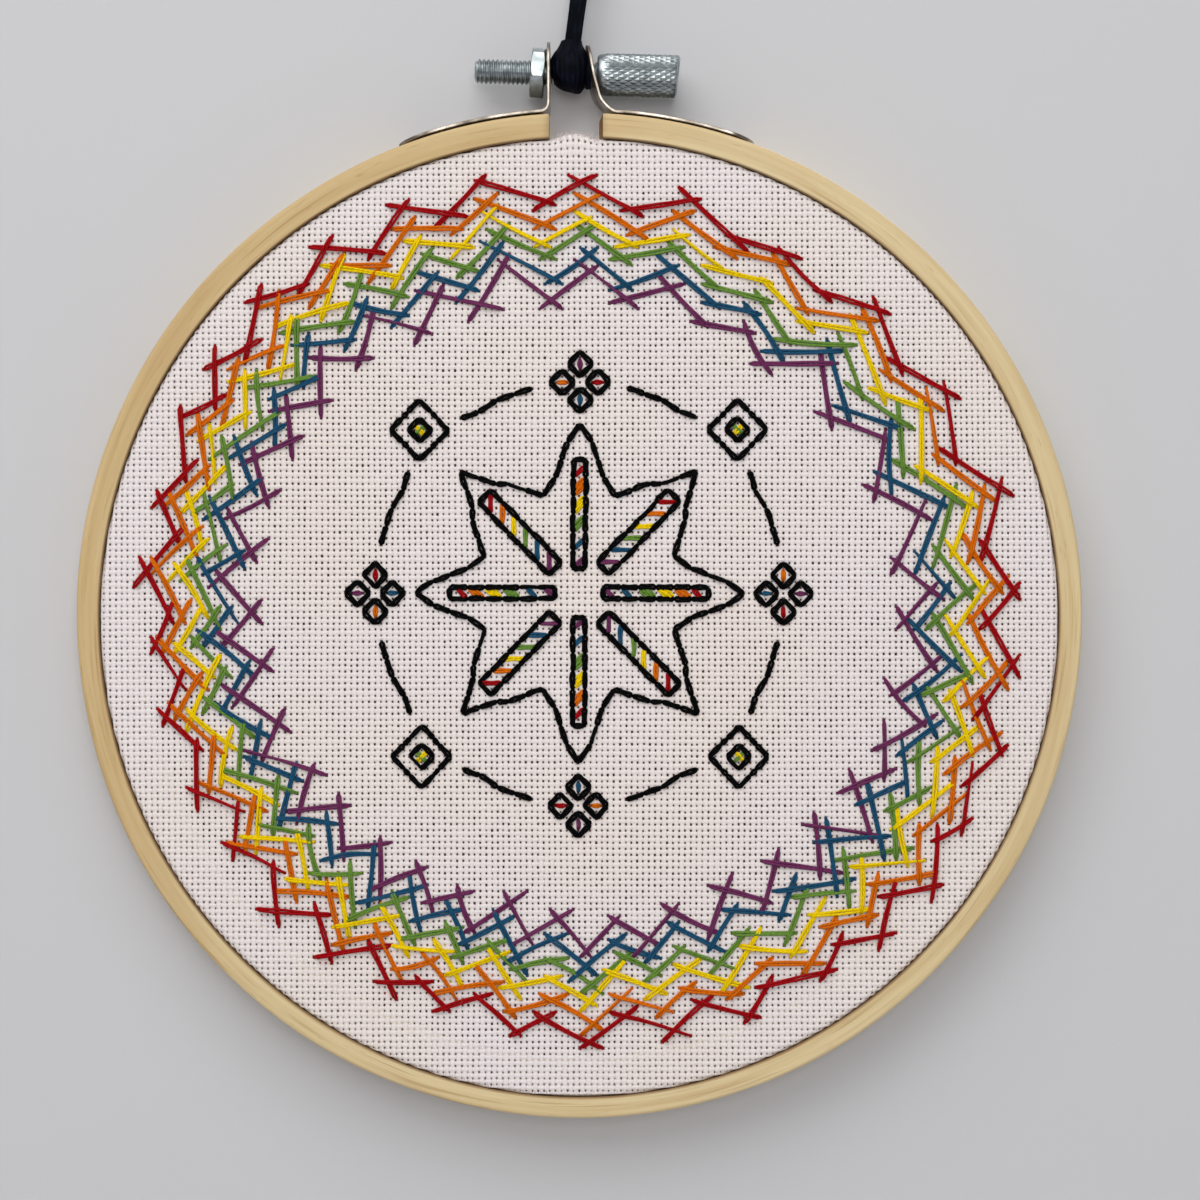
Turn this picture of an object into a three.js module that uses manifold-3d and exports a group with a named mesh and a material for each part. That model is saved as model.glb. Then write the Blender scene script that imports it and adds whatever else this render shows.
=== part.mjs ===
// Hoop embroidery art: a round of evenweave cloth stretched in a split wooden embroidery hoop,
// hung by a ribbon loop that is hitched round the hoop's clamping screw.
// Millimetres. +X is right, +Z is up, and the embroidered face looks along -Y.
// The origin is where the hanging loop bears on its hook. Most pieces are built about the hoop's
// own centre, in a group that is placed below the origin.
import * as THREE from "three";
import { mergeVertices } from "three/addons/utils/BufferGeometryUtils.js";
import Module from "manifold-3d";

// ---- driving dimensions ----
const CLEARANCE = 0.3; // between any two pieces

const HOOP_DEPTH = 9; // both rings, front to back
const OUTER_RADIUS = 77.5; // outside of the split ring
const OUTER_BORE = 73.9; // inside of the split ring
const RING_LIFT = 0.32; // the outside circle stands this much above the bore's: a thicker top
const GAP_LEFT = -4.65; // X of the left end of the split ring
const GAP_RIGHT = 3.66; // X of the right end, at the front
const GAP_SKEW = 0.6; // the right end's cut runs this far to the left, from front to back
const WOOD_EDGE = 0.55; // rounding of the rings' long edges

const CLOTH_RECESS = 0.5; // cloth face behind the split ring's front
const CLOTH_THICK = 1; // sheet thickness of the solid
const CLOTH_SHOULDER = 0.8; // rounding where the cloth turns over the inner ring
const CLOTH_BULGE = 0.8; // how far the cloth swells out into the gap
const INNER_WALL = 3.2; // radial wall of the inner ring

const STRIP_THICK = 0.5; // clamp strips
const STRIP_WIDTH = 8; // clamp strips, along Y
const STRIP_END = 28; // X distance from the middle to each strip's tip
const LEFT_EAR_X = -4.77; // middle of the left ear's thickness
const LEFT_EAR_TOP = 89.5;
const EAR_BEND = 1.5; // bend radius from ear to strip
const RIGHT_EAR = [
  { x: 1.55, z: 89.0 },
  { x: 1.76, z: 87.0 },
  { x: 2.13, z: 84.5 },
  { x: 2.75, z: 82.0 },
  { x: 3.47, z: 79.9 },
]; // middle of the right ear's thickness, from its top down
const RIGHT_LANDING = [5.3, 7.3]; // X where the right strip first lies on the ring
const RIGHT_SHORTER = 0.9; // the right strip's tip is this much nearer the middle
const YAW_RISE = 3; // the right ear reaches its full yaw this far above its foot
const RIGHT_EAR_YAW = 0.096; // X shift to the left for each mm towards the back
const PIP_RADIUS = 0.8; // punched pip in each strip
const PIP_HEIGHT = 0.45;
const PIP_SEGMENTS = 16;
const PIP_RINGS = 10;
const PIP_LEFT = -23.7;
const PIP_RIGHT = 24.9;
const LEFT_STEPS = 10; // straight pieces along the ring, in the left strip
const RIGHT_STEPS = 9; // and in the right strip
const BEND_STEPS = 5; // in the left strip's bend
const EAR_STEPS = 16; // in the right ear and its bend
const ROUND_END_STEPS = 12; // in each curve of a strip's round ends

const SCREW_HEIGHT = 84.56; // the screw's axis above the hoop's centre, at X = 0
const SCREW_SLOPE = 1.6; // degrees, down to the right
const SCREW_MAJOR = 1.93; // M4 thread, radius over the crests
const SCREW_MINOR = 1.6; // radius at the roots
const THREAD_PITCH = 0.7;
const SCREW_START = -16.05; // free end of the screw
const SCREW_CRESTS = 12; // crests outside the nut
const FIRST_CREST = 0.9; // the first one's distance from the free end, in pitches
const NUT_LEFT = -7.72;
const NUT_THICK = 2.1;
const NUT_ACROSS_FLATS = 7;
const NUT_CHAMFER = 0.3;
const NUT_TILT = 3; // degrees that the nut's top leans to the right on its thread
const NUT_ROLL = 17; // degrees that its front flat looks up
const SCREW_POINT = 0.15; // the screw's free end is this much under the roots
const KEEP_CLEAR = 1; // a cutter runs past what it cuts by this much
const KNOB_START = 2.92;
const KNOB_END = 15.68;
const KNOB_RADIUS = 3.35;
const KNOB_NOSE = 2.3; // length of the rounded nose
const KNOB_CHAMFER = 0.35;
const BORE_RADIUS = SCREW_MAJOR + CLEARANCE; // every hole that the screw passes

const HANG_X = 4.75; // the hook from the hoop's centre
const HANG_Z = 133;
const RIBBON_WIDTH = 2.2;
const RIBBON_THICK = 0.5;
const RIBBON_LEAN = 0.133; // X shift for each mm of height, from the knot to the hook
const CROWN_RADIUS = 4.5; // bend of the ribbon's middle over the hook
const RIBBON_STEPS = 76;

const FRONT = -HOOP_DEPTH / 2; // Y of the split ring's front
const BACK = HOOP_DEPTH / 2;
const CLOTH_RADIUS = OUTER_BORE - CLEARANCE;
const INNER_RADIUS = CLOTH_RADIUS - CLOTH_THICK - CLEARANCE;
const ROUND_SEGMENTS = 108; // round the rings and the cloth
const SCREW_SIDES = 24;
const NUT_SEGMENTS = 36; // round the nut's chamfers
const HOLE_HALF_LENGTH = 10; // of the cutters for the screw's holes, about X = 0

// ---- closed meshes, and the cuts and joins between them ----
const wasm = await Module();
wasm.setup();

function solidOf(geometry) {
  const bare = geometry.index ? geometry.toNonIndexed() : geometry.clone();
  for (const name of Object.keys(bare.attributes)) {
    if (name !== "position") bare.deleteAttribute(name);
  }
  const merged = mergeVertices(bare, 1e-4);
  return new wasm.Manifold(
    new wasm.Mesh({
      numProp: 3,
      vertProperties: merged.attributes.position.array,
      triVerts: new Uint32Array(merged.index.array),
    }),
  );
}

function geometryOf(solid) {
  const mesh = solid.getMesh();
  const geometry = new THREE.BufferGeometry();
  geometry.setAttribute("position", new THREE.BufferAttribute(mesh.vertProperties, 3));
  geometry.setIndex(new THREE.BufferAttribute(mesh.triVerts, 1));
  geometry.computeVertexNormals();
  return geometry;
}

function piece(name, geometry, material) {
  const mesh = new THREE.Mesh(geometry, material);
  mesh.name = name;
  return mesh;
}

// Moves every vertex of a geometry by a function of its own place.
function reshape(geometry, move) {
  const position = geometry.attributes.position;
  const point = new THREE.Vector3();
  for (let i = 0; i < position.count; i++) {
    move(point.fromBufferAttribute(position, i));
    position.setXYZ(i, point.x, point.y, point.z);
  }
  return geometry;
}

// A rectangle in the (radius, Y) plane with four rounded corners, closed on itself.
function ringSection(inside, outside, front, back, edge) {
  const path = new THREE.Path();
  path.moveTo(outside - edge, front);
  path.absarc(outside - edge, front + edge, edge, -Math.PI / 2, 0);
  path.absarc(outside - edge, back - edge, edge, 0, Math.PI / 2);
  path.absarc(inside + edge, back - edge, edge, Math.PI / 2, Math.PI);
  path.absarc(inside + edge, front + edge, edge, Math.PI, 1.5 * Math.PI);
  path.closePath();
  return path.getPoints(1);
}

// A shape drawn in X and Z, given its width along Y about Y = 0.
function acrossHoop(shape, width) {
  const geometry = new THREE.ExtrudeGeometry(shape, { depth: width, bevelEnabled: false });
  return geometry.rotateX(Math.PI / 2).translate(0, width / 2, 0);
}

// A round bar along the screw's axis, from X = a to X = b.
function screwBar(radius, a, b) {
  const bar = new THREE.CylinderGeometry(radius, radius, b - a, SCREW_SIDES);
  return onScrewAxis(bar.translate(0, (a + b) / 2, 0));
}

// Turns a geometry made along +Y so that it lies along the screw, with Y = 0 at X = 0.
function onScrewAxis(geometry) {
  const slope = THREE.MathUtils.degToRad(SCREW_SLOPE);
  return geometry.rotateZ(-Math.PI / 2).rotateY(slope).translate(0, 0, SCREW_HEIGHT);
}

// ---- the wooden rings ----
function outerHoop() {
  const ring = new THREE.LatheGeometry(
    ringSection(OUTER_BORE, OUTER_RADIUS, FRONT, BACK, WOOD_EDGE),
    ROUND_SEGMENTS,
  );
  const middle = (OUTER_BORE + OUTER_RADIUS) / 2;
  reshape(ring, (p) => {
    if (Math.hypot(p.x, p.z) > middle) p.z += RING_LIFT;
  });
  const gap = new THREE.Shape([
    new THREE.Vector2(GAP_LEFT, 0),
    new THREE.Vector2(GAP_RIGHT, 0),
    new THREE.Vector2(GAP_RIGHT - GAP_SKEW, HOOP_DEPTH),
    new THREE.Vector2(GAP_LEFT, HOOP_DEPTH),
  ]);
  const wedge = new THREE.ExtrudeGeometry(gap, { depth: 2 * OUTER_RADIUS, bevelEnabled: false });
  reshape(wedge.translate(0, FRONT, 0), (p) => {
    p.y = p.y > 0 ? BACK + KEEP_CLEAR : FRONT - KEEP_CLEAR;
  });
  return geometryOf(solidOf(ring).subtract(solidOf(wedge)));
}

function innerHoop() {
  const front = FRONT + CLOTH_RECESS + CLOTH_THICK + CLEARANCE;
  return new THREE.LatheGeometry(
    ringSection(INNER_RADIUS - INNER_WALL, INNER_RADIUS, front, BACK, WOOD_EDGE),
    ROUND_SEGMENTS,
  );
}

// ---- the cloth: a flat face that turns back between the rings ----
function cloth() {
  const face = FRONT + CLOTH_RECESS;
  const inside = CLOTH_RADIUS - CLOTH_THICK;
  const path = new THREE.Path();
  path.moveTo(0, face);
  path.lineTo(CLOTH_RADIUS - CLOTH_SHOULDER, face);
  path.absarc(CLOTH_RADIUS - CLOTH_SHOULDER, face + CLOTH_SHOULDER, CLOTH_SHOULDER, -Math.PI / 2, 0);
  path.lineTo(CLOTH_RADIUS, BACK);
  path.lineTo(inside, BACK);
  path.lineTo(inside, face + CLOTH_THICK);
  path.lineTo(0, face + CLOTH_THICK);
  const cup = new THREE.LatheGeometry(path.getPoints(2), ROUND_SEGMENTS);
  const middle = (GAP_LEFT + GAP_RIGHT - GAP_SKEW) / 2;
  const half = (GAP_RIGHT - GAP_SKEW - GAP_LEFT) / 2 - 2 * CLEARANCE;
  return reshape(cup, (p) => {
    const across = Math.abs(p.x - middle) / half;
    if (p.z < inside - CLOTH_THICK || across >= 1) return;
    p.z += CLOTH_BULGE * Math.cos((across * Math.PI) / 2) ** 2;
  });
}

// ---- the clamp: two bent strips ----
// The middle line of a strip in X and Z: down its ear, round the bend and along the ring.
function stripLine(side) {
  const radius = OUTER_RADIUS + CLEARANCE + STRIP_THICK / 2;
  const onRing = (x) => new THREE.Vector2(x, RING_LIFT + Math.sqrt(radius * radius - x * x));
  const run = (from, to, steps) =>
    Array.from({ length: steps + 1 }, (_, i) => onRing(from + ((to - from) * i) / steps));
  if (side < 0) {
    const foot = onRing(LEFT_EAR_X - EAR_BEND);
    const bend = new THREE.QuadraticBezierCurve(
      new THREE.Vector2(LEFT_EAR_X, foot.y + EAR_BEND),
      new THREE.Vector2(LEFT_EAR_X, foot.y),
      foot,
    );
    const top = new THREE.Vector2(LEFT_EAR_X, LEFT_EAR_TOP);
    const along = run(foot.x - EAR_BEND, -STRIP_END, LEFT_STEPS);
    return [top, ...bend.getPoints(BEND_STEPS), ...along];
  }
  const ear = new THREE.SplineCurve([
    ...RIGHT_EAR.map(({ x, z }) => new THREE.Vector2(x, z)),
    ...RIGHT_LANDING.map(onRing),
  ]);
  const landed = RIGHT_LANDING[RIGHT_LANDING.length - 1] + EAR_BEND;
  const along = run(landed, STRIP_END - RIGHT_SHORTER, RIGHT_STEPS);
  return [...ear.getPoints(EAR_STEPS), ...along];
}

// Gives a line its thickness: the points on one side, then those on the other, back again.
function stripShape(line) {
  const sides = [[], []];
  line.forEach((p, i) => {
    const along = line[Math.min(i + 1, line.length - 1)].clone().sub(line[Math.max(i - 1, 0)]);
    const off = new THREE.Vector2(-along.y, along.x).setLength(STRIP_THICK / 2);
    sides[0].push(p.clone().add(off));
    sides[1].unshift(p.clone().sub(off));
  });
  return new THREE.Shape([...sides[0], ...sides[1]]);
}

function clamp(side) {
  const line = stripLine(side);
  const strip = acrossHoop(stripShape(line), STRIP_WIDTH);
  if (side > 0) {
    const foot = line[EAR_STEPS].y;
    reshape(strip, (p) => {
      const up = THREE.MathUtils.smoothstep(p.z, foot, foot + YAW_RISE);
      p.x -= up * RIGHT_EAR_YAW * (p.y + STRIP_WIDTH / 2);
    });
  }
  // Seen from above, a tongue with a round tip; seen from the side, an ear with a round top.
  const half = STRIP_WIDTH / 2;
  const tip = line[line.length - 1].x;
  const tongue = new THREE.Shape();
  tongue.moveTo(-side * half, -half);
  tongue.lineTo(tip - side * half, -half);
  tongue.absellipse(tip - side * half, 0, half, half, -Math.PI / 2, Math.PI / 2, side < 0, 0);
  tongue.lineTo(-side * half, half);
  const plan = new THREE.ExtrudeGeometry(tongue, {
    depth: LEFT_EAR_TOP,
    bevelEnabled: false,
    curveSegments: ROUND_END_STEPS,
  });
  const top = line[0].y;
  const crown = new THREE.Shape();
  crown.moveTo(half + KEEP_CLEAR, 0);
  crown.lineTo(half, top - half);
  crown.absarc(0, top - half, half, 0, Math.PI, false);
  crown.lineTo(-half - KEEP_CLEAR, 0);
  const flank = new THREE.ExtrudeGeometry(crown, {
    depth: 4 * STRIP_END,
    bevelEnabled: false,
    curveSegments: ROUND_END_STEPS,
  });
  flank.rotateX(Math.PI / 2).rotateZ(Math.PI / 2).translate(-2 * STRIP_END, 0, 0);
  const pipX = side < 0 ? PIP_LEFT : PIP_RIGHT;
  const pipRise = OUTER_RADIUS + CLEARANCE + STRIP_THICK;
  const pip = new THREE.SphereGeometry(PIP_RADIUS, PIP_SEGMENTS, PIP_RINGS);
  pip.scale(1, 1, PIP_HEIGHT / PIP_RADIUS);
  pip.rotateY(Math.asin(pipX / pipRise));
  pip.translate(pipX, 0, RING_LIFT + Math.sqrt(pipRise ** 2 - pipX ** 2));
  const hole = screwBar(BORE_RADIUS, -HOLE_HALF_LENGTH, HOLE_HALF_LENGTH);
  return geometryOf(
    solidOf(strip)
      .intersect(solidOf(plan))
      .intersect(solidOf(flank))
      .subtract(solidOf(hole))
      .add(solidOf(pip)),
  );
}

// ---- the screw and its nut ----
function hexNut() {
  const corner = NUT_ACROSS_FLATS / Math.sqrt(3);
  const half = NUT_THICK / 2;
  const rim = corner + NUT_CHAMFER / 6; // a little outside the corners, which it leaves whole
  const prism = new THREE.CylinderGeometry(corner, corner, NUT_THICK, 6);
  const turned = new THREE.LatheGeometry(
    [
      new THREE.Vector2(0, -half),
      new THREE.Vector2(corner - NUT_CHAMFER, -half),
      new THREE.Vector2(rim, -half + NUT_CHAMFER),
      new THREE.Vector2(rim, half - NUT_CHAMFER),
      new THREE.Vector2(corner - NUT_CHAMFER, half),
      new THREE.Vector2(0, half),
    ],
    NUT_SEGMENTS,
  );
  prism.rotateY(-THREE.MathUtils.degToRad(NUT_ROLL));
  const middle = NUT_LEFT + half;
  const tilt = THREE.MathUtils.degToRad(NUT_TILT);
  const blank = solidOf(prism).intersect(solidOf(turned));
  const leaning = onScrewAxis(geometryOf(blank).rotateX(-tilt).translate(0, middle, 0));
  const hole = screwBar(BORE_RADIUS, NUT_LEFT - NUT_THICK, 0);
  return geometryOf(solidOf(leaning).subtract(solidOf(hole)));
}

function thumbscrew() {
  const profile = new THREE.Path();
  profile.moveTo(0, SCREW_START);
  profile.lineTo(SCREW_MINOR - SCREW_POINT, SCREW_START);
  for (let i = 0; i < SCREW_CRESTS; i++) {
    const crest = SCREW_START + (i + FIRST_CREST) * THREAD_PITCH;
    profile.lineTo(SCREW_MINOR, crest - THREAD_PITCH / 2);
    profile.lineTo(SCREW_MAJOR, crest);
  }
  const nose = KNOB_START + KNOB_NOSE;
  profile.lineTo(SCREW_MAJOR, KNOB_START);
  profile.absellipse(
    SCREW_MAJOR,
    nose,
    KNOB_RADIUS - SCREW_MAJOR,
    KNOB_NOSE,
    -Math.PI / 2,
    0,
    false,
  );
  profile.lineTo(KNOB_RADIUS, KNOB_END - KNOB_CHAMFER);
  profile.lineTo(KNOB_RADIUS - KNOB_CHAMFER, KNOB_END);
  profile.lineTo(0, KNOB_END);
  return onScrewAxis(new THREE.LatheGeometry(profile.getPoints(3), SCREW_SIDES));
}

// ---- the hanging ribbon ----
// The knot's outline, from the bottom up: height above the hoop's centre, its left and right
// sides, and half its depth along Y.
const KNOT_ROWS = [
  { z: 81.65, left: -2.2, right: 0.1, deep: 1.0 },
  { z: 81.90, left: -3.1, right: 0.4, deep: 1.9 },
  { z: 82.50, left: -3.8, right: 0.7, deep: 2.7 },
  { z: 83.40, left: -4.15, right: 0.85, deep: 3.2 },
  { z: 84.70, left: -4.2, right: 0.88, deep: 3.4 },
  { z: 86.10, left: -4.2, right: 0.88, deep: 3.2 },
  { z: 87.10, left: -4.1, right: 0.8, deep: 2.7 },
  { z: 88.30, left: -3.5, right: 0.6, deep: 1.9 },
  { z: 89.10, left: -2.8, right: 0.3, deep: 1.3 },
  { z: 89.60, left: -2.4, right: 0.1, deep: 1.0 },
];
const KNOT_SIDES = 24;

function cordKnot() {
  const grid = [];
  for (const row of KNOT_ROWS) {
    const middle = (row.left + row.right) / 2;
    const half = (row.right - row.left) / 2;
    for (let k = 0; k < KNOT_SIDES; k++) {
      const turn = (2 * Math.PI * k) / KNOT_SIDES;
      grid.push(middle + half * Math.cos(turn), row.deep * Math.sin(turn), row.z);
    }
  }
  const first = KNOT_ROWS[0];
  const last = KNOT_ROWS[KNOT_ROWS.length - 1];
  const poles = grid.length / 3;
  grid.push((first.left + first.right) / 2, 0, first.z);
  grid.push((last.left + last.right) / 2, 0, last.z);
  const faces = [];
  for (let k = 0; k < KNOT_SIDES; k++) {
    const next = (k + 1) % KNOT_SIDES;
    for (let j = 0; j < KNOT_ROWS.length - 1; j++) {
      const a = j * KNOT_SIDES;
      const b = a + KNOT_SIDES;
      faces.push(a + k, a + next, b + next, a + k, b + next, b + k);
    }
    const top = (KNOT_ROWS.length - 1) * KNOT_SIDES;
    faces.push(poles, next, k, poles + 1, top + k, top + next);
  }
  const bulb = new THREE.BufferGeometry();
  bulb.setAttribute("position", new THREE.Float32BufferAttribute(grid, 3));
  bulb.setIndex(faces);
  const hole = screwBar(BORE_RADIUS, -HOLE_HALF_LENGTH, HOLE_HALF_LENGTH);
  return geometryOf(solidOf(bulb).subtract(solidOf(hole)));
}

// The loop's two strands, from the knot up: height from the hook, half the distance between the
// strands, and how far the pair has turned from lying front and back to lying left and right.
const RIBBON_ROWS = [
  { z: -42.9, apart: 0.5, turn: 0 },
  { z: -40.6, apart: 0.5, turn: 0 },
  { z: -38.0, apart: 0.5, turn: 3 },
  { z: -34.0, apart: 0.62, turn: 14 },
  { z: -30.0, apart: 0.95, turn: 32 },
  { z: -25.0, apart: 1.55, turn: 56 },
  { z: -19.0, apart: 2.45, turn: 76 },
  { z: -13.0, apart: 3.4, turn: 86 },
  { z: -8.0, apart: 4.15, turn: 90 },
];

// A smooth line that also says which way the flat ribbon's width points along it.
class RibbonPath extends THREE.CatmullRomCurve3 {
  constructor(points, turns) {
    super(points);
    this.turns = new THREE.CatmullRomCurve3(turns.map((turn) => new THREE.Vector3(turn, 0, 0)));
  }
  computeFrenetFrames(steps) {
    const frames = { tangents: [], normals: [], binormals: [] };
    for (let i = 0; i <= steps; i++) {
      const t = this.getUtoTmapping(i / steps);
      const turn = THREE.MathUtils.degToRad(this.turns.getPoint(t).x);
      const tangent = this.getTangent(t);
      const width = new THREE.Vector3(Math.cos(turn), -Math.sin(turn), 0);
      width.addScaledVector(tangent, -width.dot(tangent)).normalize();
      frames.tangents.push(tangent);
      frames.normals.push(width);
      frames.binormals.push(tangent.clone().cross(width));
    }
    return frames;
  }
}

function cordLoop() {
  const strand = (side) =>
    RIBBON_ROWS.map((row) => {
      const turn = THREE.MathUtils.degToRad(row.turn);
      const x = RIBBON_LEAN * row.z + side * row.apart * Math.sin(turn);
      return new THREE.Vector3(x, side * row.apart * Math.cos(turn), row.z);
    });
  const centre = RIBBON_THICK / 2 - CROWN_RADIUS;
  const crown = [180, 135, 90, 45, 0].map((degrees) => {
    const angle = THREE.MathUtils.degToRad(degrees);
    return new THREE.Vector3(
      CROWN_RADIUS * Math.cos(angle),
      0,
      centre + CROWN_RADIUS * Math.sin(angle),
    );
  });
  const turns = RIBBON_ROWS.map((row) => row.turn);
  const path = new RibbonPath(
    [...strand(-1), ...crown, ...strand(1).reverse()],
    [...turns, ...crown.map(() => 90), ...turns.slice().reverse()],
  );
  const a = RIBBON_WIDTH / 2;
  const b = RIBBON_THICK / 2;
  const section = new THREE.Shape(
    [
      [a, -b / 2],
      [a, b / 2],
      [0.75 * a, b],
      [-0.75 * a, b],
      [-a, b / 2],
      [-a, -b / 2],
      [-0.75 * a, -b],
      [0.75 * a, -b],
    ].map(([x, y]) => new THREE.Vector2(x, y)),
  );
  return new THREE.ExtrudeGeometry(section, { steps: RIBBON_STEPS, extrudePath: path });
}

// ---- materials ----
const wood = new THREE.MeshStandardMaterial({ color: 0xd6bd8c, roughness: 0.6, metalness: 0 });
const innerWood = new THREE.MeshStandardMaterial({ color: 0xcfb483, roughness: 0.65, metalness: 0 });
const cotton = new THREE.MeshStandardMaterial({ color: 0xe8e2df, roughness: 0.9, metalness: 0 });
const nickel = new THREE.MeshStandardMaterial({ color: 0xb8b3aa, roughness: 0.35, metalness: 1 });
const zinc = new THREE.MeshStandardMaterial({ color: 0xa9b0b2, roughness: 0.35, metalness: 1 });
const satin = new THREE.MeshStandardMaterial({ color: 0x14161c, roughness: 0.5, metalness: 0 });

// ---- the object ----
const hoop = new THREE.Group();
hoop.position.set(-HANG_X, 0, -HANG_Z);
hoop.add(
  piece("outer_hoop", outerHoop(), wood),
  piece("inner_hoop", innerHoop(), innerWood),
  piece("cloth", cloth(), cotton),
  piece("clamp_left", clamp(-1), nickel),
  piece("clamp_right", clamp(1), nickel),
  piece("hex_nut", hexNut(), zinc),
  piece("thumbscrew", thumbscrew(), zinc),
  piece("cord_knot", cordKnot(), satin),
);

const art = new THREE.Group();
art.name = "hoop_embroidery_art";
art.add(hoop, piece("cord_loop", cordLoop(), satin));

export default art;
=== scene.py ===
import math

import bpy
import numpy as np
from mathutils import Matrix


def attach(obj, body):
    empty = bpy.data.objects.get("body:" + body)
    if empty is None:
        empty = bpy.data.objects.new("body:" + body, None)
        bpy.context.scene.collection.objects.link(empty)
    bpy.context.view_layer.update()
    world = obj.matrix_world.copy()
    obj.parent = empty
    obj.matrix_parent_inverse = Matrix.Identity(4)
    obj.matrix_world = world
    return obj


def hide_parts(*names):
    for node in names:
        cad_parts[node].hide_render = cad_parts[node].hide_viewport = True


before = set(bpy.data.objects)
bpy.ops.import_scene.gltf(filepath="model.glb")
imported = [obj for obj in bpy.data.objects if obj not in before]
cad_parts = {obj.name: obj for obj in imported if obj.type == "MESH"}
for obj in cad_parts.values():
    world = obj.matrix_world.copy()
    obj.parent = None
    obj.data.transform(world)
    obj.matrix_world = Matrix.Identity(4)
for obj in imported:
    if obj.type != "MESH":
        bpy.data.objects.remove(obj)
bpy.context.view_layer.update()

# ---- the camera ----
# It stands at arm's length and looks at the hoop face on, a little above and right of its middle.
MM = 0.001
HOOP_CENTRE = np.array((-4.75, 0.0, -133.0))
FRONT, BACK = -4.5, 4.5  # Y of the split ring's two faces
EYE = (3.2, FRONT - 420.0, 2.7)
VIEW_WIDTH = 184.8  # what the camera takes in at the hoop's front
camera = bpy.data.objects.new("camera", bpy.data.cameras.new("camera"))
camera.data.sensor_width = 36.0
camera.data.lens = camera.data.sensor_width * (FRONT - EYE[1]) / VIEW_WIDTH
camera.location = (HOOP_CENTRE + EYE) * MM
camera.rotation_euler = (math.pi / 2, 0.0, 0.0)
bpy.context.scene.collection.objects.link(camera)
bpy.context.scene.camera = camera

# ---- the inner hoop ----
# A flat strip of pale bamboo, planed, steamed and glued into a ring. It stands behind the cloth and
# holds it out, so only its inside and its back edge show. Its long edges are sanded round.
INNER_BORE, INNER_OUTSIDE = 69.1, 72.3
INNER_FRONT = -2.7  # Y of its front edge, under the cloth
WOOD_EDGE = 0.55  # rounding of its long edges
UPPER_LEFT = (-0.88, 0.0, 0.47)  # from the hoop's middle
INNER_WAVE = 0.05  # how far it is out of round, three times in the round
INNER_WOOD = {"light": "#DCCBA2", "middle": "#D0BA8C", "dark": "#C2A878"}
# Its darkest colour, #1E1008, is painted shade for the front edge under the cloth.
INNER_WOOD |= {"pore": "#94734A", "stain_and_painted_shade": "#1E1008"}
UNDER_CLOTH = 0.5  # its front edge is painted dark to this depth, a painted shade under the cloth


def linear(colour):
    """An sRGB hex colour in linear light: a channel up to 0.04045 is divided by 12.92, and a higher
    one is (channel + 0.055) / 1.055 to the power 2.4."""
    channels = np.array([int(colour[i : i + 2], 16) for i in (1, 3, 5)]) / 255
    lit = np.where(channels <= 0.04045, channels / 12.92, ((channels + 0.055) / 1.055) ** 2.4)
    return (*(float(c) for c in lit), 1.0)


def add(material, kind, inputs, **settings):
    """Adds a node with its settings, and gives its outputs. An input is a value or another socket."""
    node = material.node_tree.nodes.new(kind)
    for key, value in settings.items():
        setattr(node, key, value)
    for key, value in inputs.items():
        if isinstance(value, bpy.types.NodeSocket):
            material.node_tree.links.new(value, node.inputs[key])
        else:
            node.inputs[key].default_value = value
    return node.outputs


def blend(material, share, low, high, **settings):
    """The colour between two: low where the share is 0, and high where it is 1."""
    inputs = {0: share, 6: low, 7: high}
    return add(material, "ShaderNodeMix", inputs, data_type="RGBA", **settings)[2]


def span(material, value, start, end, low=0.0, high=1.0, **settings):
    """A value's way from start to end, laid over the way from low to high and held beyond it."""
    inputs = {0: value, 1: start, 2: end, 3: low, 4: high}
    return add(material, "ShaderNodeMapRange", inputs, **settings)[0]


def maths(material, operation, *values):
    """One sum, product or the like of values and sockets."""
    return add(material, "ShaderNodeMath", dict(enumerate(values)), operation=operation)[0]


def mottle(material, place, size, detail, **inputs):
    """Cloudy noise from 0 to 1 whose patches are about size millimetres across."""
    inputs |= {"Vector": place, "Scale": 1 / (size * MM), "Detail": detail}
    return add(material, "ShaderNodeTexNoise", inputs)[0]


def ridges(material, height, strength, deep):
    """A bump whose height of 1 stands deep millimetres over its height of 0."""
    inputs = {"Height": height, "Strength": strength, "Distance": deep * MM}
    return add(material, "ShaderNodeBump", inputs)[0]


def new_finish(name, **values):
    """A material with one shader, whose plain values are set on its own sockets by name."""
    material = bpy.data.materials.new(name)
    material.use_nodes = True
    shader = material.node_tree.nodes["Principled BSDF"]
    for key, value in values.items():
        shader.inputs[key.replace("_", " ")].default_value = value
    return material, shader


def dress(material, shader, **sockets):
    """Links sockets to the shader's inputs by name."""
    for key, socket in sockets.items():
        material.node_tree.links.new(socket, shader.inputs[key.replace("_", " ")])


def put(name, points, faces, wrap, material, flat_from=None):
    """A mesh of points in millimetres about the hoop's centre, with UV map `wrap` given for each
    corner of each face. Faces from number flat_from on are shaded flat, and the others smooth."""
    mesh = bpy.data.meshes.new(name)
    mesh.from_pydata(((points.reshape(-1, 3) + HOOP_CENTRE) * MM).tolist(), [], faces)
    smooth = np.ones(len(mesh.polygons), bool)
    smooth[len(faces) if flat_from is None else flat_from :] = False
    mesh.polygons.foreach_set("use_smooth", smooth)
    mesh.uv_layers.new(name="wrap").data.foreach_set("uv", np.asarray(wrap, np.float32).ravel())
    mesh.materials.append(material)
    made = bpy.data.objects.new(name, mesh)
    bpy.context.scene.collection.objects.link(made)
    return made


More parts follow.
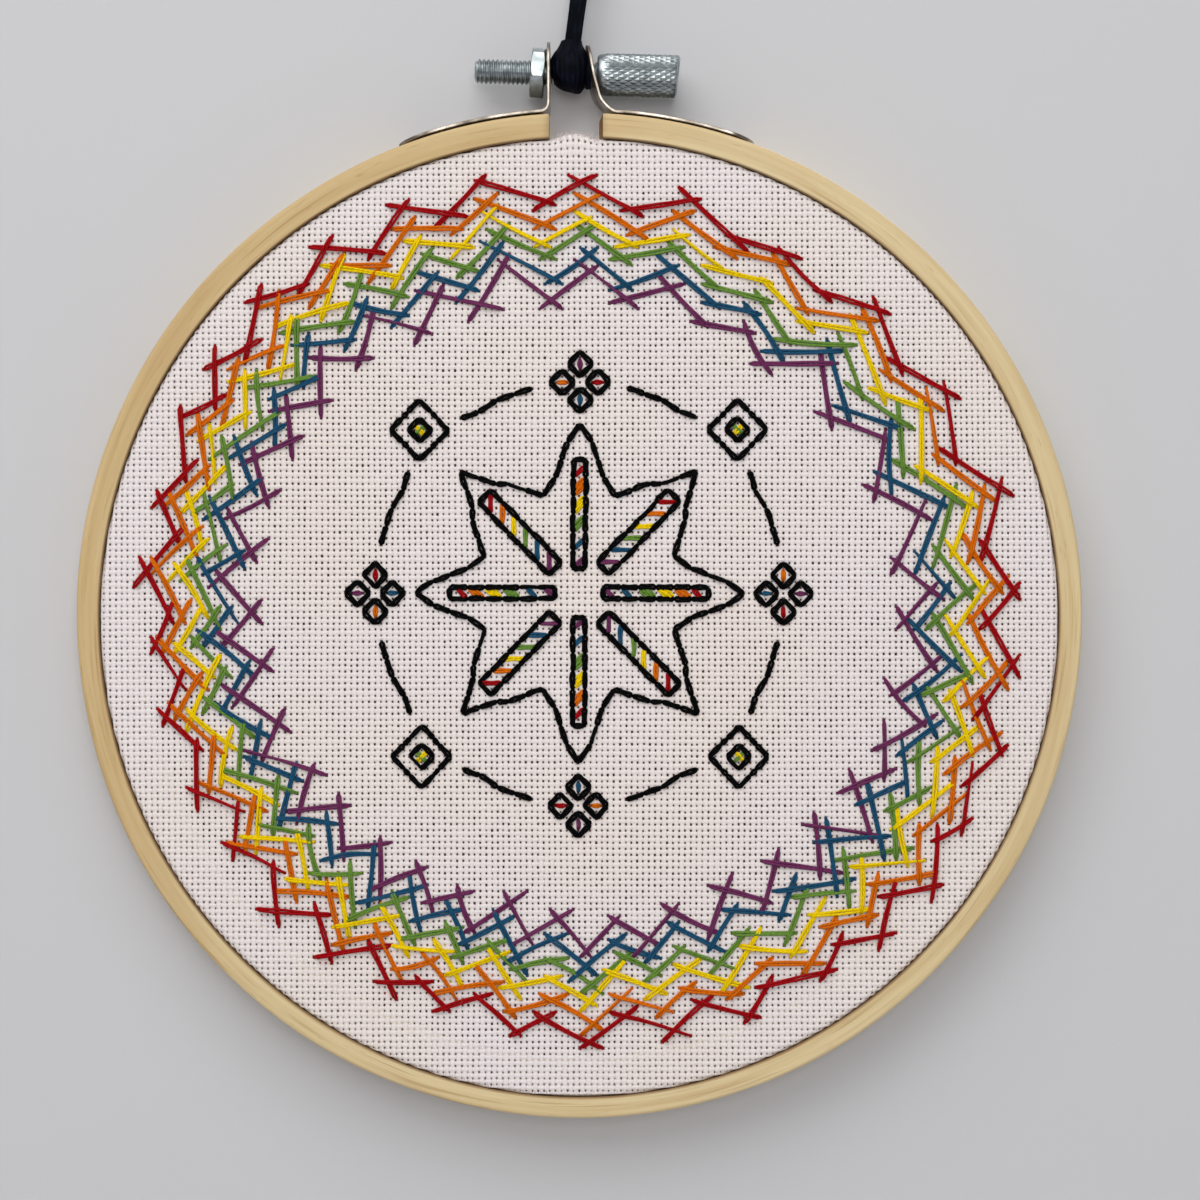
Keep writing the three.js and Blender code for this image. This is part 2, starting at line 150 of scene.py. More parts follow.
def tubes(name, points, material, ring=False):
    """Closed tubes from points[tube, row, side], each row one section run anticlockwise about the
    way it goes. Quads join row to row and side to side. Each end is closed with one face, or ring
    joins the last row to the first. UV: millimetres along, and the share of the way round."""
    count, rows, sides, _ = points.shape
    t, i, j = np.meshgrid(
        np.arange(count), np.arange(rows if ring else rows - 1), np.arange(sides), indexing="ij"
    )
    middle = points.mean(2)
    middle = np.concatenate([middle, middle[:, :1]], 1)
    along = np.cumsum(np.linalg.norm(np.diff(middle, axis=1), axis=2), 1)
    along = np.concatenate([np.zeros((count, 1)), along], 1)
    corners, wrap = [], []
    for di, dj in ((0, 0), (0, 1), (1, 1), (1, 0)):
        corners.append((t * rows + (i + di) % rows) * sides + (j + dj) % sides)
        wrap.append(np.stack([along[t, i + di], (j + dj) / sides], -1))
    quads = np.stack(corners, -1).reshape(-1, 4)
    wrap = np.stack(wrap, -2).reshape(-1, 2)
    if ring:
        return put(name, points, quads.tolist(), wrap, material)
    first = (np.arange(count) * rows * sides)[:, None] + np.arange(sides)[::-1]
    last = (np.arange(count) * rows * sides)[:, None] + (rows - 1) * sides + np.arange(sides)
    ends = np.concatenate([first, last])
    share = np.arange(sides) / sides
    low = np.stack(np.broadcast_arrays(along[:, :1] + 0 * share, share[::-1]), -1)
    high = np.stack(np.broadcast_arrays(along[:, rows - 1 : rows] + 0 * share, share), -1)
    wrap = np.concatenate([wrap, low.reshape(-1, 2), high.reshape(-1, 2)])
    return put(name, points, quads.tolist() + ends.tolist(), wrap, material, len(quads))


def rounded_bar(low, high, edge, steps=4):
    """A rectangle's outline from its low corner to its high one, run anticlockwise: a quarter
    circle at each corner, and points close beside it to keep the flats flat. The edge is the
    circles' radius, or a pair: that on the low side of the first axis and that on the high side."""
    turn = np.linspace(0, math.pi / 2, steps)
    near, far = np.broadcast_to(edge, 2)
    middles = (
        (high[0] - far, low[1] + far, far),
        (high[0] - far, high[1] - far, far),
        (low[0] + near, high[1] - near, near),
        (low[0] + near, low[1] + near, near),
    )
    arcs = [
        np.stack([x + r * np.cos(turn + k), y + r * np.sin(turn + k)], -1)
        for (x, y, r), k in zip(middles, np.array((-1, 0, 1, 2)) * math.pi / 2)
    ]
    outline = []
    for here, after in zip(arcs, arcs[1:] + arcs[:1]):
        side = after[0] - here[-1]
        outline += [here, here[-1] + np.outer((0.08, 0.5, 0.92), side)]
    return np.concatenate(outline)


def round_section(radius, depth, angle):
    """Points at a radius and an angle in the hoop's plane, and at a depth along Y."""
    return np.stack(
        np.broadcast_arrays(radius * np.cos(angle), depth, radius * np.sin(angle)), -1
    )


def bamboo_finish(name, shades, roughness, darkened_near=None):
    """Bamboo, planed and lightly sanded. Its fibres follow the bend of the strip as streaks 25 mm
    long and under 1 mm wide, with short dark specks between them. It is bare, so its gloss is
    soft and wide. The last argument names a radius or a depth, and within 0.3 mm of it and
    before it the strip is darkened: at a bore's edge partly brown from handling and partly
    painted shade of the crevice to the cloth, and under the cloth painted shade alone. Where the
    shades have a cane tone, the strip is multiplied by it over its upper left."""
    material, shader = new_finish(name, Roughness=roughness, Specular_IOR_Level=0.2)
    place = add(material, "ShaderNodeTexCoord", {})["Object"]
    about = add(
        material,
        "ShaderNodeVectorMath",
        {0: place, 1: tuple(HOOP_CENTRE * MM)},
        operation="SUBTRACT",
    )[0]
    flat = add(
        material, "ShaderNodeVectorMath", {0: about, 1: (1, 0, 1)}, operation="MULTIPLY"
    )[0]
    radius = add(material, "ShaderNodeVectorMath", {0: flat}, operation="LENGTH")["Value"]
    heading = add(material, "ShaderNodeVectorMath", {0: flat}, operation="NORMALIZE")[0]
    depth = add(material, "ShaderNodeSeparateXYZ", {0: about})[1]

    def streaks(bends, per_mm, across, detail, roughness):
        """Noise that changes slowly round the ring and quickly across it: its place is the unit
        vector towards the point times bends, with the radius up, and the depth is its fourth."""
        turned = add(
            material, "ShaderNodeVectorMath", {0: heading, "Scale": bends}, operation="SCALE"
        )[0]
        parts = add(material, "ShaderNodeSeparateXYZ", {0: turned})
        out = maths(material, "MULTIPLY", radius, per_mm / MM)
        back = maths(material, "MULTIPLY", depth, across / MM)
        where = add(material, "ShaderNodeCombineXYZ", {0: parts[0], 1: parts[2], 2: out})[0]
        return add(
            material,
            "ShaderNodeTexNoise",
            {"Vector": where, "W": back, "Scale": 1.0, "Detail": detail, "Roughness": roughness},
            noise_dimensions="4D",
        )[0]

    broad = streaks(2.5, 0.9, 0.4, 2.0, 0.5)
    fine = streaks(7.0, 4.2, 2.2, 2.0, 0.5)
    veins = streaks(5.0, 2.2, 0.8, 1.0, 0.5)
    pores = streaks(26.0, 5.5, 4.0, 1.0, 0.5)
    base = blend(
        material, span(material, broad, 0.36, 0.64), linear(shades["dark"]), linear(shades["light"])
    )
    worn = blend(
        material, span(material, fine, 0.3, 0.72, high=0.75), base, linear(shades["middle"])
    )
    lines = span(material, veins, 0.6, 0.74, high=0.45)
    specks = span(material, pores, 0.66, 0.78, high=0.5)
    dark = maths(material, "MAXIMUM", lines, specks)
    colour = blend(material, dark, worn, linear(shades["pore"]))
    if "cane" in shades:
        towards = add(
            material,
            "ShaderNodeVectorMath",
            {0: heading, 1: UPPER_LEFT},
            operation="DOT_PRODUCT",
        )["Value"]
        upper_left = span(material, towards, 0.15, 0.8, interpolation_type="SMOOTHSTEP")
        colour = blend(material, upper_left, colour, linear(shades["cane"]), blend_type="MULTIPLY")
    # Painted shade near the named radius or depth; at a bore's edge it is partly a handling stain
    # too.
    if darkened_near:
        measure, start = darkened_near
        far, near = (start + 0.3) * MM, (start + 0.05) * MM
        share = span(material, radius if measure == "radius" else depth, far, near, high=0.7)
        colour = blend(material, share, colour, linear(shades["stain_and_painted_shade"]))
    bump = ridges(material, fine, 0.25, 0.06)
    dress(material, shader, Base_Color=colour, Normal=bump)
    return material


inner_section = rounded_bar((INNER_BORE, INNER_FRONT), (INNER_OUTSIDE, BACK), WOOD_EDGE)
inner_turn = np.linspace(0, 2 * math.pi, 300, endpoint=False)[:, None]
inner_hoop = tubes(
    "inner_hoop_wood",
    round_section(
        inner_section[:, 0] + INNER_WAVE * np.sin(3 * inner_turn + 1), inner_section[:, 1], inner_turn
    )[None],
    bamboo_finish("bamboo_planed", INNER_WOOD, 0.6, ("depth", INNER_FRONT + UNDER_CLOTH)),
    ring=True,
)
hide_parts("inner_hoop")
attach(inner_hoop, "hoop")

# ---- the cloth ----
# A round cut from white evenweave cotton, one thick thread over one, laid over the inner hoop and
# pulled down tight. It turns back between the two hoops and is trimmed off level with their backs.
THREAD_PITCH = np.array((0.905, 0.935))  # from warp to warp, and from weft to weft
HOLE_HALF = np.array((0.132, 0.157))  # half an opening, between two warps and two wefts
HOLE_DEPTH = 0.2  # an opening's rim behind the crowns of the threads
CLOTH_FACE = -4.0  # Y of its front
CLOTH_RADIUS = 73.88  # outside, where it has turned back
CLOTH_SHOULDER = 0.36  # rounding where it turns back over the inner hoop
CLOTH_THICKNESS = 1.0
CLOTH_REACH = 84.2  # from the middle, round the cut edge, to where the inside is out of sight
OPEN_REACH = 74.4  # openings past here are shut by the hoops
GAP_LEFT, GAP_RIGHT, GAP_SKEW = -4.65, 3.66, 0.6  # X of the split ring's ends
CLOTH_BULGE = 0.8  # how far it swells out between them
PRESSED_FROM = 66.0  # past here the inner hoop bears on the cloth and closes its openings a little
BULGE_FROM, BULGE_RUN, BULGE_INSET = 71.0, 2.5, 0.3  # where that starts, and how fast
COUNTED = 94  # threads each way from the middle
WAVES, WAVE_SWAY, WAVE_LENGTHS = 5, 0.07, (35, 90)  # how far the threads sway, and over what
THREAD_STRAY, HOLE_STRAY, CROWN_STRAY = 0.05, 0.018, 0.02
OPENING_SPREAD, PRESSED_SHUT = 0.13, 0.12  # shares of an opening's size
# The hollow colour is painted shade for the low places between the threads.
COTTON = {"thread": "#EEE6E5", "painted_hollow_shade": "#A89A97", "warm": "#EFE4DE"}

rng = np.random.default_rng(11)
step = np.arange(-COUNTED, COUNTED + 1)
col, row = np.meshgrid(step, step, indexing="ij")
flat = np.stack([col, row], -1) * THREAD_PITCH


def wander(across, along):
    """How far threads stray sideways: long waves of random heading over the cloth, a fixed
    stray for each thread, smoothed with its neighbours, and a little for each crossing."""
    total = np.zeros(col.shape)
    for _ in range(WAVES):
        heading = rng.uniform(0, 2 * math.pi)
        length = rng.uniform(*WAVE_LENGTHS)
        wave = (flat @ np.array((math.cos(heading), math.sin(heading)))) / length
        total += WAVE_SWAY * np.sin(2 * math.pi * wave + rng.uniform(0, 6.3))
    stray = np.convolve(rng.normal(0, THREAD_STRAY, len(step)), (0.25, 0.5, 0.25), "same")
    return total + np.take(stray, across + COUNTED) + rng.normal(0, HOLE_STRAY, col.shape)


hole_places = flat + np.stack([wander(col, row), wander(row, col)], -1)
crossings = (
    hole_places[:-1, :-1] + hole_places[1:, :-1] + hole_places[1:, 1:] + hole_places[:-1, 1:]
) / 4
crossings += rng.normal(0, CROWN_STRAY, crossings.shape)


def over_the_hoop(places, sunk):
    """Flat cloth to its stretched shape: straight out to the shoulder, a quarter circle round it,
    back along the hoop, and in across the cut edge. In the gap at the top it swells out."""
    reach = np.minimum(np.linalg.norm(places, axis=-1), CLOTH_REACH)
    heading = places / np.maximum(np.linalg.norm(places, axis=-1, keepdims=True), 1e-6)
    turn_start = CLOTH_RADIUS - CLOTH_SHOULDER
    turn = np.clip((reach - turn_start) / CLOTH_SHOULDER, 0, math.pi / 2)
    back_start = turn_start + CLOTH_SHOULDER * math.pi / 2
    depth = BACK - CLOTH_FACE - CLOTH_SHOULDER
    back = np.clip(reach - back_start, 0, depth)
    inwards = np.clip(reach - back_start - depth, 0, CLOTH_THICKNESS)
    forwards = np.maximum(reach - back_start - depth - CLOTH_THICKNESS, 0)
    shell = CLOTH_SHOULDER - sunk
    radius = np.minimum(reach, turn_start) + shell * np.sin(turn) - inwards
    y = CLOTH_FACE + CLOTH_SHOULDER - shell * np.cos(turn) + back - forwards
    x, z = np.moveaxis(heading * radius[..., None], -1, 0)
    middle = (GAP_LEFT + GAP_RIGHT - GAP_SKEW) / 2
    across = np.abs(x - middle) / ((GAP_RIGHT - GAP_SKEW - GAP_LEFT) / 2 - BULGE_INSET)
    rise = np.clip((reach - BULGE_FROM) / BULGE_RUN, 0, 1) * (z > 0)
    z = z + CLOTH_BULGE * rise * np.cos(np.minimum(across, 1) * math.pi / 2) ** 1.2
    return np.stack([x, y, z], -1)


cell = (slice(1, -1), slice(1, -1))
middles = hole_places[cell]
reach = np.linalg.norm(middles, axis=-1)
opening = np.clip(rng.normal(1.0, OPENING_SPREAD, reach.shape), 0.55, 1.35)
opening *= 1 - PRESSED_SHUT * np.clip((reach - PRESSED_FROM) / 3, 0, 1)
around = np.array(((-1, -1), (1, -1), (1, 1), (-1, 1)))
rims = middles[:, :, None] + around * HOLE_HALF * (
    opening[..., None, None] * rng.uniform(0.86, 1.14, (*reach.shape, 4, 2))
)
crowns = over_the_hoop(crossings, rng.normal(0.0, CROWN_STRAY, crossings.shape[:2]))
hollows = over_the_hoop(rims, np.full(rims.shape[:3], HOLE_DEPTH))
crown_index = np.arange(crowns.shape[0] * crowns.shape[1]).reshape(crowns.shape[:2])
corner = np.stack(
    [crown_index[:-1, :-1], crown_index[1:, :-1], crown_index[1:, 1:], crown_index[:-1, 1:]], -1
)
hollow_index = crown_index.size + np.arange(hollows.size // 3).reshape(hollows.shape[:3])
open_cell = reach < OPEN_REACH
shut_cell = (reach >= OPEN_REACH) & (reach < CLOTH_REACH)
faces = [corner[shut_cell]]
for k in range(4):
    n = (k + 1) % 4
    faces.append(
        np.stack([corner[..., k], corner[..., n], hollow_index[..., n], hollow_index[..., k]], -1)[
            open_cell
        ]
    )
faces = np.concatenate(faces)
half = np.stack(np.meshgrid(step[:-1] + 0.5, step[:-1] + 0.5, indexing="ij"), -1)
counts = np.concatenate(
    [
        half.reshape(-1, 2),
        (
            np.stack([col, row], -1)[cell][:, :, None] + (rims - middles[:, :, None]) / THREAD_PITCH
        ).reshape(-1, 2),
    ]
)
cloth_points = np.concatenate([crowns.reshape(-1, 3), hollows.reshape(-1, 3)])
used, packed_faces = np.unique(faces, return_inverse=True)
packed_faces = packed_faces.reshape(-1, 4)
rim_vertex = np.searchsorted(used, hollow_index)  # of each opening's four corners


def evenweave_finish():
    """Bleached cotton evenweave. Where the warp is on top a crown is long up and down, and where
    the weft is, across; the map counts threads, so half counts are crossings. Soft, matt, and a
    little warmer in broad patches, with loose fibre that breaks up each thread."""
    material, shader = new_finish(
        "cotton_evenweave", Roughness=0.9, Specular_IOR_Level=0.2, Sheen_Weight=0.15
    )
    count = add(material, "ShaderNodeUVMap", {}, uv_map="wrap")[0]
    across, up, _ = add(material, "ShaderNodeSeparateXYZ", {0: count})

    turn_across = maths(material, "MULTIPLY", across, math.pi)
    turn_up = maths(material, "MULTIPLY", up, math.pi)
    sines = [maths(material, "SINE", turn) for turn in (turn_across, turn_up)]
    over = span(material, maths(material, "MULTIPLY", *sines), -0.35, 0.35, -1.0, 1.0)

    def side(turn):
        """How near a point is to the side of its thread: the cosine of its turn, squared."""
        size = maths(material, "ABSOLUTE", maths(material, "COSINE", turn))
        return maths(material, "POWER", size, 2.0)

    both = maths(material, "ADD", side(turn_across), side(turn_up))
    tilted = maths(material, "SUBTRACT", side(turn_across), side(turn_up))
    fall = maths(material, "MULTIPLY", both, -0.47)
    lean = maths(material, "MULTIPLY", tilted, -0.25)
    crown = maths(material, "ADD", fall, maths(material, "MULTIPLY", lean, over))
    place = add(material, "ShaderNodeTexCoord", {})["Object"]
    fibre = mottle(material, place, 0.22, 3.0, Roughness=0.65)
    height = maths(material, "ADD", crown, maths(material, "MULTIPLY", fibre, 0.5))
    bump = ridges(material, height, 0.5, 0.14)
    patches = mottle(material, place, 30, 1.0)
    tint = blend(
        material,
        span(material, patches, 0.35, 0.65),
        linear(COTTON["thread"]),
        linear(COTTON["warm"]),
    )
    # Painted shade: the cloth is darkened towards the low places between its threads.
    low = span(material, height, -0.15, -0.85, high=0.55)
    colour = blend(material, low, tint, linear(COTTON["painted_hollow_shade"]))
    dress(material, shader, Base_Color=colour, Normal=bump)
    return material


cotton = evenweave_finish()
cloth = put(
    "cloth_evenweave",
    cloth_points[used],
    packed_faces.tolist(),
    counts[used][packed_faces.ravel()],
    cotton,
)
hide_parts("cloth")
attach(cloth, "hoop")

# ---- the border ----
# Six rounds of herringbone stitch, from purple inside to red outside. Each is worked with two
# strands of cotton floss: a long slanting stitch, then a short step back behind the cloth.
FLOSS = {
    "purple": "#6C2D57",
    "blue": "#1B4D6C",
    "green": "#668A38",
    "yellow": "#ECCA00",
    "orange": "#D46800",
    "red": "#9C0008",
    "black": "#040405",
}
ROUNDS = ("purple", "blue", "green", "yellow", "orange", "red")
PERIODS = 33  # zigzags in each round
CROSS_RISE = (4.3, 3.9, 3.6, 3.5, 3.4, 3.3)  # from the crossings inside a round to those outside
TAIL = 1.95  # how far a stitch runs on past a crossing
FIRST_CROSSING = math.radians(88.9)
STRAND = np.array((0.215, 0.16))  # half a strand's width and height
STRAND_APART = 0.2  # half of what parts the two strands of a stitch
END_DIVE = 0.6  # a stitch comes up from behind the cloth within this length
HUMP_AT, HUMP_WIDTH = 0.2, 0.11  # where a stitch rides over the one before, as shares of it
BOW_SPREAD, ROLL_SPREAD, TWIST_SPREAD = 0.16, 0.45, 0.05
BEHIND = 0.5  # the steps behind the cloth lie this far behind its face
SIDES = 6  # of a strand
PLY_TWIST = 0.8  # millimetres along a strand from one ply's ridge to the next
PARTED = 1.5  # how much wider a used opening is than before
WIDER, PACE_SPREAD, ANGLE_SPREAD = 0.4, 0.07, 0.007  # of a zigzag, as shares and radians
CROSSING_SPREAD, RADIUS_SPREAD, TAIL_SPREAD = 0.45, 0.3, 0.6


def nearest_hole(places):
    """The thread counts of the opening nearest to each place on the flat cloth."""
    return np.rint(places / THREAD_PITCH).astype(int)


def at_hole(counts):
    """Where an opening is on the cloth, by its thread counts."""
    i, j = np.moveaxis(counts + COUNTED, -1, 0)
    return hole_places[i, j]


def stitches(start, end, lift, hump, stout=1.0, dive=END_DIVE, behind=False):
    """Points of two-strand stitches between two sets of openings. Along a stitch the height over
    the cloth is a smooth rise from behind it, then lift, plus hump where it crosses the stitch
    before. Across it the strands lie side by side, draw together at the ends and slowly twist."""
    a, b = at_hole(start), at_hole(end)
    count = len(a)
    run = b - a
    length = np.maximum(np.linalg.norm(run, axis=1), 0.3)
    along = run / length[:, None]
    side = np.stack([-along[:, 1], np.zeros(count), along[:, 0]], -1)
    dive = np.minimum(dive, length / 3)[:, None]
    ends = np.array((0.0, 0.2, 0.5)) * dive
    middle = dive + (length[:, None] - 2 * dive) * np.linspace(0, 1, 7)
    s = np.concatenate([ends, middle, length[:, None] - ends[:, ::-1]], 1)
    near = np.minimum(s, length[:, None] - s) / dive
    rise = np.clip(near, 0, 1) ** 0.75
    share = s / length[:, None]
    crest = hump[:, None] * np.exp(-(((share - HUMP_AT) / HUMP_WIDTH) ** 2))
    height = -0.55 + rise * (0.55 + lift[:, None]) + crest * rise
    bow = rng.normal(0, BOW_SPREAD, (count, 1)) * np.minimum(length[:, None] / 8, 1)
    spread = 1 + 0.22 * np.sin(math.pi * 2.6 * share + rng.uniform(0, 6, (count, 1)))
    if behind:
        bow = np.full((count, 1), 0.3)
    tubes_made = []
    phase = rng.normal(0, ROLL_SPREAD, (count, 1))
    twist = rng.normal(0, TWIST_SPREAD, (count, 1))
    for strand in (-1, 1):
        roll = phase + twist * s
        apart = stout * STRAND_APART * spread * (0.35 + 0.65 * np.clip(near, 0, 1))
        sway = strand * apart * np.cos(roll) + bow * np.sin(math.pi * share)
        over = height + strand * 0.6 * apart * np.sin(roll)
        y = CLOTH_FACE + BEHIND + over if behind else CLOTH_FACE - over
        path = np.stack([a[:, :1] + along[:, :1] * s, y, a[:, 1:] + along[:, 1:] * s], -1)
        path += side[:, None] * sway[..., None]
        tangent = np.gradient(path, axis=1)
        tangent /= np.linalg.norm(tangent, axis=2, keepdims=True)
        up = np.cross(tangent, side[:, None])
        turn = np.linspace(0, 2 * math.pi, SIDES, endpoint=False)
        thin = stout * (0.78 + 0.22 * np.clip(near, 0, 1))[..., None, None]
        tubes_made.append(
            path[:, :, None]
            + thin * STRAND[0] * np.cos(turn)[:, None] * side[:, None, None]
            + thin * STRAND[1] * np.sin(turn)[:, None] * up[:, :, None]
        )
    return np.concatenate(tubes_made)


def floss_finish(colour):
    """Six-strand cotton floss, mercerised, so that it takes a soft silky light along the strand.
    Each strand is two plies twisted once in about 1.6 mm, drawn as slanting ridges. The dye is
    painted lighter on each ply's ridge and darker between the plies, a painted highlight and
    shade, with a little random fibre tone."""
    material, shader = new_finish(
        "cotton_floss_" + colour,
        Roughness=0.6,
        Specular_IOR_Level=0.05 if colour == "black" else 0.1,
    )
    wrap = add(material, "ShaderNodeUVMap", {}, uv_map="wrap")[0]
    along, round_it, _ = add(material, "ShaderNodeSeparateXYZ", {0: wrap})
    turn = maths(
        material,
        "ADD",
        maths(material, "MULTIPLY", along, 2 * math.pi / PLY_TWIST),
        maths(material, "MULTIPLY", round_it, 4 * math.pi),
    )
    ply = maths(material, "SINE", turn)
    place = add(material, "ShaderNodeTexCoord", {})["Object"]
    fibre = mottle(material, place, 0.35, 2.0)
    # Painted highlight and shade: the dye is scaled from 0.76 to 1.18 with the ply's ridges, and with
    # random fibre.
    shade = span(material, maths(material, "MULTIPLY_ADD", ply, 0.25, fibre), 0.1, 0.9, 0.76, 1.18)
    dye_with_painted_ply_light = add(
        material,
        "ShaderNodeVectorMath",
        {0: linear(FLOSS[colour])[:3], "Scale": shade},
        operation="SCALE",
    )[0]
    bump = ridges(material, ply, 0.6, 0.04)
    dress(material, shader, Base_Color=dye_with_painted_ply_light, Normal=bump)
    return material


def part_threads(counts):
    """The needle spreads the threads: the corners of each opening it used move out by half."""
    i, j = np.moveaxis(np.unique(counts.reshape(-1, 2), axis=0) + COUNTED - 1, -1, 0)
    places = np.zeros(len(cloth.data.vertices) * 3, np.float32)
    cloth.data.vertices.foreach_get("co", places)
    places = places.reshape(-1, 3)
    chosen = rim_vertex[i, j]
    rim = places[chosen]
    middle = rim.mean(1, keepdims=True)
    places[chosen] = middle + (rim - middle) * PARTED
    cloth.data.vertices.foreach_set("co", places.ravel())
    cloth.data.update()


# The zigzags are wider over the top right, where each takes up to two fifths more of the round.
steps = 2 * PERIODS
k = np.arange(steps)
off_middle = np.abs((k + 4 + PERIODS) % steps - PERIODS)
pace = 1 + WIDER / (1 + (off_middle / 6.5) ** 6)
pace = pace * (1 + rng.normal(0, PACE_SPREAD, steps))
tip_angle = FIRST_CROSSING + 2 * math.pi * (np.cumsum(pace) - pace[0]) / pace.sum()
uneven = rng.normal(0, CROSSING_SPREAD, steps)  # of the crossings, the same way in every round


def border_edge(share, angle):
    """The radius of the border at share 0, the purple round's outside, to 1, the red round's. The
    rounds are a little egg shaped, with the high side up and to the left."""
    inner = 53.4 - 0.3 * np.cos(angle) + 1.9 * np.sin(angle)
    inner += 1.3 * np.cos(2 * angle) - 1.5 * np.sin(2 * angle)
    outer = 66.5 + 0.2 * np.cos(angle) + 1.2 * np.sin(angle)
    outer += 0.45 * np.cos(2 * angle) - 1.7 * np.sin(2 * angle)
    return inner + (outer - inner) * share


used_holes = []
for number, colour in enumerate(ROUNDS):
    angle = tip_angle + rng.normal(0, ANGLE_SPREAD, steps)
    radius = border_edge(number / 5, angle) + uneven + rng.normal(0, RADIUS_SPREAD, steps)
    radius = radius - CROSS_RISE[number] * (k % 2 == 1)
    crossing = radius[:, None] * np.stack([np.cos(angle), np.sin(angle)], -1)
    after = np.roll(crossing, -1, axis=0)
    way = (after - crossing) / np.linalg.norm(after - crossing, axis=1, keepdims=True)
    tail = np.clip(rng.normal(TAIL, TAIL_SPREAD, (2, steps, 1)), 1.0, 3.8)
    start = nearest_hole(crossing - way * tail[0])
    end = nearest_hole(after + way * tail[1])
    lift = 0.12 + 0.05 * number + rng.uniform(0, 0.05, steps)
    long_legs = stitches(start, end, lift, np.full(steps, 0.32))
    back_steps = stitches(
        end, np.roll(start, -1, axis=0), np.full(steps, 0.1), np.zeros(steps), behind=True
    )
    used_holes += [start, end]
    thread = tubes(
        "border_" + colour, np.concatenate([long_legs, back_steps]), floss_finish(colour)
    )
    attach(thread, "hoop")

# ---- the star ----
# Blackwork in backstitch, counted on the threads: an eight-pointed star, whose points hold bars
# of slanting stitches in the six colours, inside a ring of flowers and diamonds with links.
MIDDLE = np.array((0, 4))  # the opening that the design is counted from
BACKSTITCH = 3.4  # most threads that one stitch passes
BAR = [("purple", 1), ("blue", 1), ("green", 2), ("yellow", 2), ("orange", 2), ("red", 1)]
BLACK_LINES = {
    "star": [(0, 28), (6, 16), (20, 20), (16, 6), (28, 0)],
    "bar": [(-1, 4), (-1, 22), (1, 22), (1, 4), (-1, 4)],
    "slant_bar": [(5, 3), (17, 15), (15, 17), (3, 5), (5, 3)],
    "petal_out": [(0, 36), (2, 38), (0, 40), (-2, 38), (0, 36)],
    "petal_in": [(0, 34), (-2, 32), (0, 30), (2, 32), (0, 34)],
    "petal_right": [(1, 35), (3, 37), (5, 35), (3, 33), (1, 35)],
    "petal_left": [(-1, 35), (-3, 33), (-5, 35), (-3, 37), (-1, 35)],
    "diamond": [(27, 32), (32, 27), (27, 22), (22, 27), (27, 32)],
    "heart": [(27, 29), (29, 27), (27, 25), (25, 27), (27, 29)],
    "link_left": [(8, 34), (20, 29)],
    "link_right": [(29, 20), (34, 8)],
}
BRIGHT_LINES = [
    ("purple", (0, 37), (0, 39)),
    ("red", (2, 35), (4, 35)),
    ("blue", (0, 33), (0, 31)),
    ("orange", (-2, 35), (-4, 35)),
    ("yellow", (26, 26), (28, 28)),
    ("green", (26, 28), (28, 26)),
]


def four_ways(points):
    """The same points after none, one, two and three quarter turns about the middle."""
    quarter = np.array(((0, 1), (-1, 0)))
    turned = [np.asarray(points)]
    for _ in range(3):
        turned.append(turned[-1] @ quarter)
    return turned


def backstitched(line):
    """A line's stitches: each straight run is cut into equal lengths, snapped to the openings."""
    begin, finish = [], []
    for a, b in zip(line[:-1], line[1:]):
        parts = max(1, math.ceil(np.linalg.norm(b - a) / BACKSTITCH))
        stops = np.rint(a + np.outer(np.linspace(0, 1, parts + 1), b - a)).astype(int)
        begin.append(stops[:-1])
        finish.append(stops[1:])
    return np.concatenate(begin) + MIDDLE, np.concatenate(finish) + MIDDLE


runs = [backstitched(way) for line in BLACK_LINES.values() for way in four_ways(line)]
start, end = (np.concatenate(part) for part in zip(*runs))
used_holes += [start, end]
blackwork = tubes(
    "star_blackwork",
    stitches(
        start, end, rng.uniform(0.14, 0.2, len(start)), np.zeros(len(start)), stout=1.15, dive=0.3
    ),
    floss_finish("black"),
)
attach(blackwork, "hoop")

bright = {colour: [] for colour in ROUNDS}
for number, (colour, times) in enumerate(BAR):
    for extra in range(times):
        low = 4 + 3 * number + extra
        bright[colour] += four_ways([(-1, low), (1, low + 2)])
    middle = 5 + 2 * number
    bright[colour] += four_ways([(middle - 2, middle), (middle + 2, middle)])
for colour, a, b in BRIGHT_LINES:
    bright[colour] += four_ways([a, b])
for colour, ways in bright.items():
    ways = np.array(ways) + MIDDLE
    start, end = ways[:, 0], ways[:, 1]
    used_holes += [start, end]
    thread = tubes(
        "star_" + colour,
        stitches(start, end, np.full(len(start), 0.1), np.zeros(len(start))),
        bpy.data.materials["cotton_floss_" + colour],
    )
    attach(thread, "hoop")
part_threads(np.concatenate(used_holes))

# ---- the fuzz ----
# Loose fibre that stands off the turned cloth where the split ring leaves it bare.
FIBRES, FIBRE_RADIUS, FIBRE_ROWS = 150, 0.045, 7
root_x = rng.uniform(GAP_LEFT + 0.3, GAP_RIGHT - GAP_SKEW, FIBRES)
root = over_the_hoop(
    np.stack([root_x, np.sqrt((CLOTH_RADIUS + rng.uniform(-0.6, 1.5, FIBRES)) ** 2 - root_x**2)], -1),
    np.zeros(FIBRES),
)
reach_out = rng.uniform(0.25, 0.9, FIBRES)[:, None]
curl = rng.normal(0, 1.0, (FIBRES, 3)) * (0.7, 0.35, 0.3)
s = np.linspace(0, 1, FIBRE_ROWS)[:, None]
fibre_path = (
    root[:, None]
    + reach_out[:, None] * s * np.array((0.0, -0.15, 0.75))
    + reach_out[:, None] * s**2 * curl[:, None]
    + 0.06 * np.sin(9 * s + rng.uniform(0, 6, (FIBRES, 1, 1)))
)
